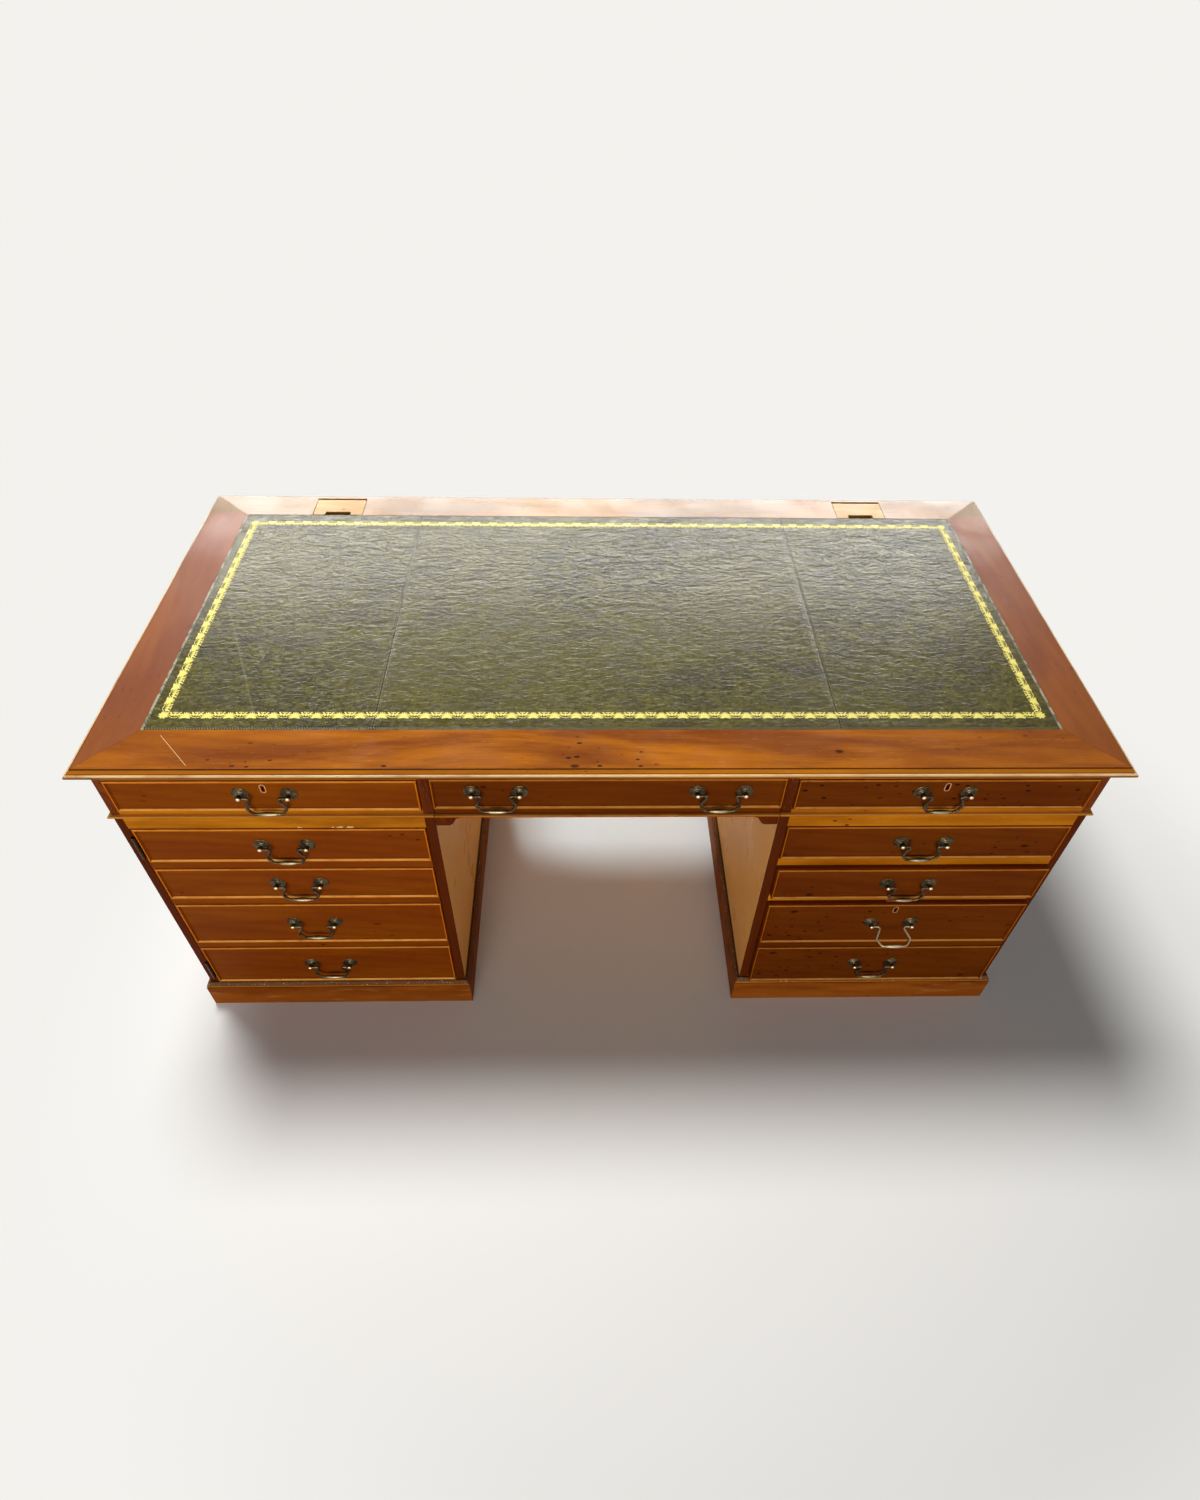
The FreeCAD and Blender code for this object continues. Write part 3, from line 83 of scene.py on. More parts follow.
class DeskWood(bpy.types.PropertyGroup):
    """Colours and sheen of the yew veneers and the plainer timbers."""

    top_deep: colour("Top, deep", "Redder patches of the top's border", 127, 64, 15)
    top_warm: colour("Top, warm", "Warm orange clouds of the top's border", 174, 101, 16)
    top_end: colour("Top, end boards", "Veneer of the two end boards", 106, 50, 16)
    bleached: colour("Top, rear board", "Veneer faded by the window", 116, 108, 52)
    flap_deep: colour("Flaps, deep", "Ground of the cable flaps", 168, 118, 34)
    flap_warm: colour("Flaps, warm", "Lighter clouds of the cable flaps", 196, 150, 56)
    front_deep: colour("Fronts, deep", "Ground of the drawer and door fronts", 208, 97, 1)
    front_warm: colour("Fronts, warm", "Lighter clouds of the fronts", 226, 116, 2)
    rail_deep: colour("Rails, deep", "Ground of the rails between the drawers", 160, 90, 8)
    rail_warm: colour("Rails, warm", "Lighter streaks of the rails", 202, 126, 20)
    stile: colour("Stiles", "Front edges of the uprights", 86, 33, 6)
    side_deep: colour("Sides, deep", "Ground of the pedestals' outer sides", 112, 52, 18)
    side_warm: colour("Sides, warm", "Lighter streaks of the outer sides", 144, 78, 28)
    knee: colour("Kneehole", "Sides that face the kneehole", 238, 174, 92)
    plinth_deep: colour("Plinth, deep", "Ground of the plinth", 122, 58, 10)
    plinth_warm: colour("Plinth, warm", "Lighter streaks of the plinth", 152, 82, 20)
    dust: colour("Dust", "Settled dust in corners", 112, 80, 50)
    # Bare wood in chips, and a painted highlight on the bead of the top's edge.
    bare_and_highlight: colour("Bare wood", "Chips where the polish is gone", 226, 196, 142)
    # A painted highlight on the upper sides of beads and mouldings.
    rubbed_and_highlight: colour("Rubbed", "Upper sides of beads and mouldings, rubbed pale", 255, 188, 96)
    pip: colour("Pips", "Small dark knots of yew", 52, 20, 6)
    drawer: colour("Drawer boxes", "Plain timber inside", 190, 148, 98)
    gloss: factor("Roughness", "Roughness of the polish", 0.30)
    shine: factor("Shine", "Specular level of the carcass and fronts", 0.01)
    top_shine: factor("Top's shine", "Specular level of the top's border and flaps", 0.07)
    pip_share: factor("Pips", "How much of the veneer carries pips", 0.5)


class DeskLeather(bpy.types.PropertyGroup):
    """The three skins of the top and their tooling."""

    ground: colour("Ground", "Olive green of the leather", 80, 75, 26)
    patch: colour("Patches", "Darker mottling", 44, 38, 16)
    rubbed_and_highlight: colour("Rubbed", "Paler, rubbed places", 103, 95, 50)
    blind: colour("Blind line", "Line pressed in along the edges", 48, 46, 34)
    # Painted highlight on the braid's raised strands; also the colour of a pale scratch.
    braid_highlight_and_scratch: colour("Braid", "Raised strands of the braided line", 118, 110, 84)
    # Pale wear and a painted highlight along the rims at both ends.
    wear_and_highlight: colour("Worn rim", "Pale wear along the rims at both ends", 176, 172, 150)
    gold: colour("Gold", "Gold of the tooled border", 228, 216, 112)
    joint: distance("Joint", "Middle of the top to the joint between two skins", 0.417)
    shine: factor("Shine", "Specular level of the leather", 0.068)
    wrinkle: distance("Wrinkles", "Height of the soft wrinkles", 0.00025)
    band_x: distance("Tooling, ends", "Middle of the top to the middle of the end bands", 0.7905)
    band_front: distance("Tooling, front", "Middle of the top to the middle of the front band", 0.3133)
    band_rear: distance("Tooling, rear", "Middle of the top to the middle of the rear band", 0.327)
    pitch: distance("Pitch", "From one shell to the next", 0.0385)
    foil: distance("Foil", "Thickness of the gold", 0.00008)


class DeskBrass(bpy.types.PropertyGroup):
    """The old brasses."""

    browned: colour("Browned", "Dull brown of the hinges", 52, 30, 18)
    dark: colour("Dark", "Old lacquer and dirt", 36, 29, 20)
    middle: colour("Bronze", "Brass under its patina", 92, 78, 54)
    # Rubbed brass, also laid as a painted highlight on the grips, the post tips and the raised bail.
    wear_and_highlight: colour("Worn", "Rubbed bright by hands", 226, 204, 160)
    line: colour("Escutcheon", "Thin brass line round a keyhole", 232, 172, 116)
    field: distance("Field", "Middle of the desk to the field of a closed front", 0.437)
    ajar: distance("Ajar", "How far the lower right-hand drawers stand out", 0.010)


class DeskStage(bpy.types.PropertyGroup):
    """Floor, lamps and camera."""

    pale: colour("Background", "Pale ground all round", 243, 242, 238)
    floor: colour("Floor", "Colour of the floor near the desk", 236, 235, 232)
    lift: factor("Floor lift", "Light that the floor adds for the camera", 0.01)
    ambient: factor("Ambient", "Light from all round", 0.07)
    key: number("Overhead", "Power of the overhead light", 400.0, min=0.0)
    window: number("Window", "Power of the soft sheen from behind the desk", 600.0, min=0.0)
    low: number("Low light", "Strength of the low light from the front", 3.0, min=0.0)
    beam: number("Beam", "Power of the light that falls through the kneehole", 160.0, min=0.0)
    eye: bpy.props.FloatVectorProperty(name="Camera", description="Place of the camera", subtype="TRANSLATION",
                                       unit="LENGTH", size=3, default=(-0.048804, -1.470920, 1.867287))
    turn: bpy.props.FloatVectorProperty(name="Camera turn", description="How the camera is turned",
                                        subtype="EULER", unit="ROTATION", size=3,
                                        default=tuple(map(math.radians, (43.4741, -1.1344, -1.2124))))
    lens: number("Lens", "Focal length in millimetres on a 36 mm frame", 21.033)
    shift_x: number("Shift across", "Sideways shift of the frame", -0.004378)
    shift_y: number("Shift up", "Upward shift of the frame", 0.012542)


# ---- looks of the materials


class Nodes:
    """A tree of shader nodes under the hand; a kind is named without ShaderNode."""

    def __init__(self, tree):
        self.tree = tree

    def add(self, kind, feeds=None, **settings):
        made = self.tree.nodes.new(f"ShaderNode{kind}")
        for key, value in settings.items():
            setattr(made, key, value)
        for key, value in (feeds or {}).items():
            self.feed(made.inputs[key], value)
        return made

    def feed(self, socket, value):
        if isinstance(value, bpy.types.NodeSocket):
            self.tree.links.new(value, socket)
        elif socket.type == "RGBA" and len(value) == 3:
            socket.default_value = (*value, 1.0)
        else:
            socket.default_value = value

    def sum(self, operation, first, second=0.0, third=0.0):
        made = self.add("Math", {0: first, 1: second}, operation=operation)
        if operation in ("MULTIPLY_ADD", "COMPARE"):
            self.feed(made.inputs[2], third)
        return made.outputs[0]

    def times(self, first, *more):
        """The product of all the values."""
        for value in more:
            first = self.sum("MULTIPLY", first, value)
        return first

    def less(self, first, second):
        return self.sum("SUBTRACT", first, second)

    def least(self, first, *more):
        for value in more:
            first = self.sum("MINIMUM", first, value)
        return first

    def most(self, first, *more):
        for value in more:
            first = self.sum("MAXIMUM", first, value)
        return first

    def seen_direct(self):
        """One for what the camera sees, also in a mirror or through glass, and nothing for its light."""
        ray = self.add("LightPath").outputs
        return self.most(ray["Is Camera Ray"], ray["Is Glossy Ray"], ray["Is Transmission Ray"])


class Look(Nodes):
    """A material: coats of colour laid over a ground by the object's own coordinates."""

    def __init__(self, name, ground=None):
        self.material = bpy.data.materials.new(name)
        self.material.use_nodes = True
        super().__init__(self.material.node_tree)
        self.surface = self.tree.nodes["Principled BSDF"]
        self.place = self.add("TexCoord").outputs["Object"]
        self.x, self.y, self.z = self.parts(self.place)
        self.tone = ground

    def parts(self, vector):
        return self.add("SeparateXYZ", {0: vector}).outputs

    def facing(self):
        """How far the surface faces each way, before any bump."""
        return self.parts(self.add("NewGeometry").outputs["Normal"])

    def ease(self, value, low, high, start=0.0, end=1.0):
        """Smoothly from start to end as the value goes from low to high."""
        made = self.add("MapRange", {"Value": value, "From Min": low, "From Max": high,
                                     "To Min": start, "To Max": end}, interpolation_type="SMOOTHSTEP")
        return made.outputs["Result"]

    def fall(self, value, low, high, start=1.0):
        """Smoothly from start down to nothing."""
        return self.ease(value, low, high, start, 0.0)

    def within(self, value, low, high, soft):
        """One from low to high and nothing past the soft edge, all three in millimetres."""
        return self.times(self.ease(value, (low - soft) * MM, low * MM),
                          self.fall(value, high * MM, (high + soft) * MM))

    def mapped(self, scale, location=(0.0, 0.0, 0.0), vector=None):
        made = self.add("Mapping", {"Vector": vector or self.place, "Location": location, "Scale": scale})
        return made.outputs["Vector"]

    def placed(self, location, rotation):
        """Coordinates counted from a place and turned with it."""
        made = self.add("Mapping", {"Vector": self.place, "Location": location, "Rotation": rotation},
                        vector_type="TEXTURE")
        return self.parts(made.outputs["Vector"])

    def noise(self, vector, detail=3.0, roughness=0.5, distortion=0.0):
        made = self.add("TexNoise", {"Vector": vector, "Scale": 1.0, "Detail": detail,
                                     "Roughness": roughness, "Distortion": distortion})
        return made.outputs["Fac"]

    def cloud(self, scale, location=(0.0, 0.0, 0.0), **settings):
        """Noise with so many features per metre, along all axes or along each."""
        return self.noise(self.mapped(scale if isinstance(scale, tuple) else (scale,) * 3, location), **settings)

    def patches(self, scale, low, high, start=0.0, end=1.0, location=(0.0, 0.0, 0.0), **settings):
        """A cloud eased from start to end."""
        return self.ease(self.cloud(scale, location, **settings), low, high, start, end)

    def cells(self, vector, across=None):
        """Cells in space, or in the plane square to the axis named in across."""
        if across is None:
            return self.add("TexVoronoi", {"Vector": vector, "Scale": 1.0})
        parts = self.parts(vector)
        first, second = (parts[i] for i in range(3) if "xyz"[i] != across)
        plane = self.add("CombineXYZ", {0: first, 1: second}).outputs[0]
        return self.add("TexVoronoi", {"Vector": plane, "Scale": 1.0}, voronoi_dimensions="2D")

    def blend(self, share, first, second, how="MIX"):
        made = self.add("Mix", data_type="RGBA", blend_type=how)
        first_socket, second_socket = (socket for socket in made.inputs if socket.type == "RGBA")
        self.feed(made.inputs[0], share)
        self.feed(first_socket, first)
        self.feed(second_socket, second)
        return next(socket for socket in made.outputs if socket.type == "RGBA")

    def lay(self, coat, *shares, how="MIX"):
        """Lay a coat over the tone so far by the product of the shares."""
        self.tone = self.blend(self.times(*shares), self.tone, coat, how)

    def scratch(self, x, y, run, ends, half_width, fades):
        """One on a straight mark that starts at x, y and runs off along run; ends, width and fades in millimetres."""
        along, aside, _up = self.placed((x, y, 0.0), (0.0, 0.0, math.atan2(run[1], run[0])))
        return self.times(self.within(along, *ends, fades[0]), self.within(aside, -half_width, half_width, fades[1]))

    def bump(self, height, strength, depth, normal=None):
        """Relief of so many millimetres."""
        made = self.add("Bump", {"Height": height, "Strength": strength, "Distance": depth * MM})
        if normal is not None:
            self.feed(made.inputs["Normal"], normal)
        return made.outputs["Normal"]

    def soft_edges(self, radius):
        """Edges softened by so many millimetres."""
        return self.add("Bevel", {"Radius": radius * MM}, samples=4).outputs["Normal"]

    def finish(self, roughness, normal=None, shine=0.5, metal=0.0):
        feeds = {"Base Color": self.tone, "Roughness": roughness, "Specular IOR Level": shine, "Metallic": metal}
        if normal is not None:
            feeds["Normal"] = normal
        for name, value in feeds.items():
            self.feed(self.surface.inputs[name], value)
        return self.material


def yew(look, along, deep, warm, shift, pips, figure=0.22, vector=None, flat=None):
    """Coats of yew veneer: clouds, rings, fine lines and pips, laid flat across one axis if named. Gives the lines."""
    pip = bpy.context.scene.desk_wood.pip

    def drawn(length, width):
        """Coordinates drawn out along the grain, so many features per metre along and across."""
        return look.mapped([length if axis == along else width for axis in "xyz"], shift, vector)

    look.tone = deep
    clouds = look.noise(drawn(2.6, 13.0), detail=4.0, roughness=0.55, distortion=0.5)
    look.lay(warm, look.ease(clouds, 0.36, 0.66))
    rings = look.add("TexWave", {"Vector": drawn(1.1, 9.0), "Scale": 2.2, "Distortion": 7.0,
                                 "Detail": 3.0, "Detail Scale": 1.2}, bands_direction="DIAGONAL").outputs["Fac"]
    look.lay((0.52, 0.36, 0.20), look.ease(rings, 0.35, 0.95, 0.0, figure), how="MULTIPLY")
    lines = look.noise(drawn(7.0, 340.0), roughness=0.65)
    look.lay((0.55, 0.38, 0.20), look.ease(lines, 0.42, 0.72, 0.0, 0.30), how="MULTIPLY")
    flecks = look.ease(look.noise(drawn(60.0, 420.0), detail=2.0), 0.60, 0.78, 0.0, 0.09)
    look.lay((1.0, 0.62, 0.24), flecks, how="SCREEN")
    grouped = look.ease(look.noise(drawn(5.0, 9.0), detail=2.0), 0.62 - 0.15 * pips, 0.72 - 0.14 * pips)
    # each pip draws whether it is there and how large it is
    spot = look.cells(drawn(30.0, 56.0), flat)
    lots = look.add("SeparateColor", {0: spot.outputs["Color"]}).outputs
    past_edge = look.less(spot.outputs["Distance"], look.times(lots[1], 0.14))
    look.lay(pip, look.fall(past_edge, 0.0, 0.05), look.sum("GREATER_THAN", lots[0], 0.40), grouped, 0.92)
    look.lay((0.46, 0.26, 0.16), grouped, 0.12, how="MULTIPLY")
    knots = look.cells(drawn(4.6, 8.4), flat)
    lot = look.add("SeparateColor", {0: knots.outputs["Color"]}).outputs[0]
    look.lay(pip, look.sum("GREATER_THAN", lot, 0.78), 0.9 * min(1.0, 0.4 + pips),
             look.fall(knots.outputs["Distance"], 0.018, 0.050))
    return lines


def polish(look, lines, edge, roughness=None, shine=None):
    """The satin polish over a wood: faint grain, uneven wear, and edges softened by so many millimetres."""
    wood = bpy.context.scene.desk_wood
    wear = look.cloud(9.0, detail=5.0, roughness=0.6)
    rough = look.sum("ADD", wood.gloss if roughness is None else roughness, look.ease(wear, 0.3, 0.75, -0.05, 0.12))
    height = look.sum("MULTIPLY_ADD", wear, 0.6, look.times(lines, 0.5))
    normal = look.bump(height, 0.10, 0.4, look.soft_edges(edge))
    return look.finish(rough, normal, wood.shine if shine is None else shine)


def paint(material, *nodes):
    """Give CAD pieces one finish all over."""
    for node in nodes:
        materials = NODES[node].data.materials
        materials.clear()
        materials.append(material)


# the top's outline and its border's boards
HALF_LENGTH, HALF_DEPTH, TOP_Z = 0.915, 0.4575, 0.787
END_BOARD, FRONT_BOARD, REAR_BOARD = 0.096, 0.106, 0.093


def border_material():
    """Yew on the top's border: the grain follows each board and turns at the mitres."""
    wood = bpy.context.scene.desk_wood
    look = Look("border_yew")
    across = look.sum("ABSOLUTE", look.x)
    # how far in from each outer edge, as a share of that board's width
    to_end = look.sum("DIVIDE", look.less(HALF_LENGTH, across), END_BOARD)
    to_front = look.sum("DIVIDE", look.sum("ADD", look.y, HALF_DEPTH), FRONT_BOARD)
    to_rear = look.sum("DIVIDE", look.less(HALF_DEPTH, look.y), REAR_BOARD)
    nearest = look.least(to_front, to_rear)
    on_end = look.sum("GREATER_THAN", nearest, to_end)
    swapped = look.add("CombineXYZ", {0: look.y, 1: look.x, 2: look.z}).outputs[0]
    grain = look.add("Mix", {0: on_end, 4: look.place, 5: swapped}, data_type="VECTOR")
    lines = yew(look, "x", wood.top_deep, wood.top_warm, (3.1, 0.4, 1.7), wood.pip_share * 1.4,
                vector=grain.outputs[1], flat="z")
    look.lay(wood.top_deep, look.ease(across, 0.42, 0.80, 0.0, 0.30))
    look.lay(wood.top_end, on_end, 0.62)
    look.lay(wood.bleached, look.fall(to_rear, 0.9, 1.0, 0.42))
    look.lay(wood.pip, look.sum("COMPARE", nearest, to_end, 0.006), 0.55)
    look.lay(wood.bare_and_highlight, 0.75, look.scratch(-0.7781, -0.3668, (0.0625, -0.0698), (0.0, 94.0), 0.3, (4.0, 0.3)))
    # the moulded edge, from the slope down over its two quirks to the bead and the underside: painted shade in the
    # quirks, a painted highlight on the bead and painted shade below it
    inward = look.least(look.times(to_end, END_BOARD), look.times(to_front, FRONT_BOARD),
                        look.times(to_rear, REAR_BOARD))
    look.lay(wood.rail_warm, look.within(inward, 4.6, 10.6, 0.3), 0.28)
    # Painted shade in the two quirks.
    quirk = look.most(look.within(inward, 10.4, 11.7, 0.3), look.within(inward, 4.5, 5.5, 0.3))
    look.lay(wood.pip, quirk, look.ease(look.z, TOP_Z - 9.0 * MM, TOP_Z - 8.2 * MM), 0.75)
    # Painted highlight on the bead, broken in patches.
    look.lay(wood.bare_and_highlight, look.within(inward, 0.2, 4.0, 0.4), look.patches(12.0, 0.3, 0.6, 0.35, 0.75),
             look.ease(look.z, TOP_Z - 10.5 * MM, TOP_Z - 9.0 * MM))
    # Painted shade on the underside of the edge.
    look.lay(wood.stile, look.fall(look.z, TOP_Z - 15.5 * MM, TOP_Z - 11.5 * MM), 0.65)
    look.lay(wood.pip, look.fall(to_rear, 0.9, 1.0, 0.3), look.ease(lines, 0.50, 0.62))
    look.lay(wood.pip, look.fall(to_rear, 0.05, 0.10, 0.6))
    duller_end = look.sum("MULTIPLY_ADD", on_end, look.ease(look.y, 0.0, 0.40, 0.26, 0.16), 0.17)
    roughness = look.sum("ADD", duller_end, look.fall(to_rear, 0.9, 1.0, 0.05))
    return polish(look, lines, 0.7, roughness, wood.top_shine)


LOCKS = ("lock_frieze_left", "lock_frieze_right", "lock_filing")
# millimetres from a lock's top down to its keyhole
KEYHOLE_DROP = 18.5


def front_material(name, out, shift, pips):
    """Yew on a beaded front; out is how far it stands out. The beads get painted highlights on their fronts and tops
    and painted shade on their sides and feet; the keyholes and gaps get painted shade.
    """
    wood = bpy.context.scene.desk_wood
    look = Look(name)
    lines = yew(look, "x", wood.front_deep, wood.front_warm, shift, pips, flat="y")
    height = look.less(-(bpy.context.scene.desk_brass.field + out), look.y)
    aside, _out, up = look.facing()
    proud = look.ease(height, 0.5 * MM, 1.4 * MM)
    # Painted highlight on the fronts of the beads.
    look.lay(wood.rail_warm, look.ease(height, 2.2 * MM, 3.3 * MM), 0.30)
    # Painted shade on the bead faces that look sideways.
    look.lay(wood.stile, proud, look.ease(look.sum("ABSOLUTE", aside), 0.25, 0.7, 0.0, 0.80))
    # Painted highlight on the bead faces that look up, broken in patches.
    look.lay(wood.rubbed_and_highlight, proud, look.patches(30.0, 0.3, 0.6, 0.55, 1.0), look.ease(up, 0.25, 0.7, 0.0, 0.95))
    # Painted shade along the feet of the beads, where they meet the field.
    look.lay(wood.pip, look.within(height, 0.06, 0.7, 0.5), 0.75)
    # Painted shade in each keyhole: a dark slot on the front.
    on_front = look.ease(height, -40.0 * MM, -30.0 * MM, 0.0, 0.9)
    for lock in LOCKS:
        low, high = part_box(lock)
        middle, eye = (low.x + high.x) / 2 / MM, high.z / MM - KEYHOLE_DROP
        look.lay(wood.pip, on_front, look.within(look.x, middle - 2.3, middle + 2.3, 0.5),
                 look.within(look.z, eye - 8.2, eye + 2.6, 0.5))
    # Painted shade on the edges behind the field, in the gaps between the parts.
    look.lay(wood.stile, look.fall(height, -4.0 * MM, -0.6 * MM), 0.6)
    # The fronts darker towards the bottom.
    look.lay((0.45, 0.42, 0.45), look.fall(look.z, 0.08, 0.60, 0.30), how="MULTIPLY")
    # Painted shade on everything to the right of the left pedestal's kneehole side.
    look.lay((0.54, 0.50, 0.50), look.ease(look.x, -0.328, -0.316, 0.0, 0.85), how="MULTIPLY")
    return polish(look, lines, 0.7)


def plain_material(name, along, deep, warm, shift, pips=0.2, roughness=None, shine=None):
    """Yew or a plainer timber with nothing more to tell."""
    look = Look(name)
    return polish(look, yew(look, along, deep, warm, shift, pips), 0.9, roughness, shine)


def rail_material():
    """Rails: bright and streaky, with a painted highlight on their upper faces and a few chips above the door."""
    wood = bpy.context.scene.desk_wood
    look = Look("rail_yew")
    lines = yew(look, "x", wood.rail_deep, wood.rail_warm, (0.3, 5.2, 2.6), 0.1, figure=0.12)
    # Painted highlight on the faces that look up.
    look.lay(wood.rubbed_and_highlight, look.ease(look.facing()[2], 0.25, 0.7, 0.0, 0.5))
    chipped = look.most(look.within(look.x, -566.0, -559.0, 1.0), look.within(look.x, -504.0, -466.0, 2.0))
    look.lay(wood.bare_and_highlight, look.patches(150.0, 0.46, 0.54), look.within(look.z, 620.0, 623.8, 0.6), chipped)
    return polish(look, lines, 0.6)


def side_material():
    """Pedestal sides: dark front edges, tan faces in the kneehole and brown outer faces."""
    wood = bpy.context.scene.desk_wood
    field = bpy.context.scene.desk_brass.field
    look = Look("pedestal_yew")
    lines = yew(look, "z", wood.side_deep, wood.side_warm, (2.2, 0.7, 0.9), 0.25)
    pale = look.blend(look.patches((3.0, 2.0, 7.0), 0.45, 0.7, 0.0, 0.15), wood.knee, wood.bare_and_highlight)
    pale = look.blend(look.ease(lines, 0.45, 0.75, 0.0, 0.05), pale, wood.side_warm)
    look.lay(pale, look.fall(look.sum("ABSOLUTE", look.x), 0.3143, 0.3150))
    edge_tone = look.blend(look.ease(lines, 0.4, 0.7, 0.0, 0.5), wood.stile, wood.pip)
    look.lay(edge_tone, look.fall(look.y, 0.3 * MM - field, 0.9 * MM - field))
    return polish(look, lines, 0.7)


def plinth_material():
    """Plinth: a face with wear, a painted highlight on its nose and a dusty ledge."""
    wood = bpy.context.scene.desk_wood
    look = Look("plinth_yew")
    lines = yew(look, "x", wood.plinth_deep, wood.plinth_warm, (4.2, 1.1, 0.2), 0.1)
    look.lay(wood.plinth_warm, look.fall(look.z, 0.004, 0.060, 0.35))
    look.lay(wood.bare_and_highlight, look.patches((14.0, 14.0, 60.0), 0.58, 0.72, 0.0, 0.08, detail=5.0))
    # Painted highlight on the nose.
    look.lay(wood.rail_warm, look.within(look.z, 69.0, 71.5, 1.0), 0.5)
    ledge = look.ease(look.z, 0.0725, 0.0745)
    look.lay(wood.dust, ledge, look.patches(60.0, 0.3, 0.6, 0.55, 0.95, detail=4.0))
    look.lay((0.80, 0.76, 0.68), ledge, look.patches(330.0, 0.66, 0.70, detail=2.0), 0.8)
    look.lay(wood.pip, look.ease(look.z, 0.0785, 0.0815, 0.0, 0.7))
    return polish(look, lines, 0.9, 0.36)


def inner_material():
    """Plain pale timber of the drawer boxes."""
    look = Look("drawer_timber", bpy.context.scene.desk_wood.drawer)
    look.lay((0.62, 0.42, 0.24), look.patches((9.0, 1.5, 9.0), 0.3, 0.7))
    lines = look.cloud((160.0, 5.0, 160.0), detail=4.0, roughness=0.6)
    look.lay((0.50, 0.30, 0.14), look.ease(lines, 0.45, 0.75, 0.0, 0.35), how="MULTIPLY")
    normal = look.bump(lines, 0.2, 0.4, look.soft_edges(0.6))
    return look.finish(0.62, normal, shine=0.25)


def bronze(name, pivot=None, turn=0.0, tip_y=None, highlight_share=0.0, dull=0.0):
    """Old brass. A bail carries wear and a painted highlight at the middle of its grip, a post at its tip, and the
    raised bail a painted highlight all over; a dull one is browned.
    """
    brass = bpy.context.scene.desk_brass
    look = Look(name, brass.dark)
    fine = look.cloud(420.0)
    broad = look.cloud(75.0, detail=4.0, roughness=0.6)
    look.lay(brass.middle, look.ease(broad, 0.32, 0.68))
    look.lay(brass.wear_and_highlight, look.ease(fine, 0.50, 0.70, 0.0, 0.16))
    rough = look.ease(broad, 0.3, 0.7, 0.42, 0.30)
    # Painted highlight all over, for the raised bail.
    if highlight_share:
        look.lay(brass.wear_and_highlight, highlight_share)
    if dull:
        look.lay(brass.browned, dull)
    # Wear and a painted highlight at the middle of a bail's grip.
    if pivot is not None:
        aside, _out, up = look.placed(pivot, (turn, 0.0, 0.0))
        look.lay(brass.wear_and_highlight, look.fall(up, -39.5 * MM, -36.0 * MM), 0.38,
                 look.fall(look.sum("ABSOLUTE", aside), 6.0 * MM, 21.0 * MM))
    # Wear and a painted highlight at the tip of a post.
    if tip_y is not None:
        tip = look.fall(look.y, tip_y, tip_y + 3.0 * MM)
        look.lay(brass.wear_and_highlight, tip, 0.95)
        rough = look.less(rough, look.times(tip, 0.08))
    return look.finish(rough, look.bump(fine, 0.12, 0.2), metal=1.0)


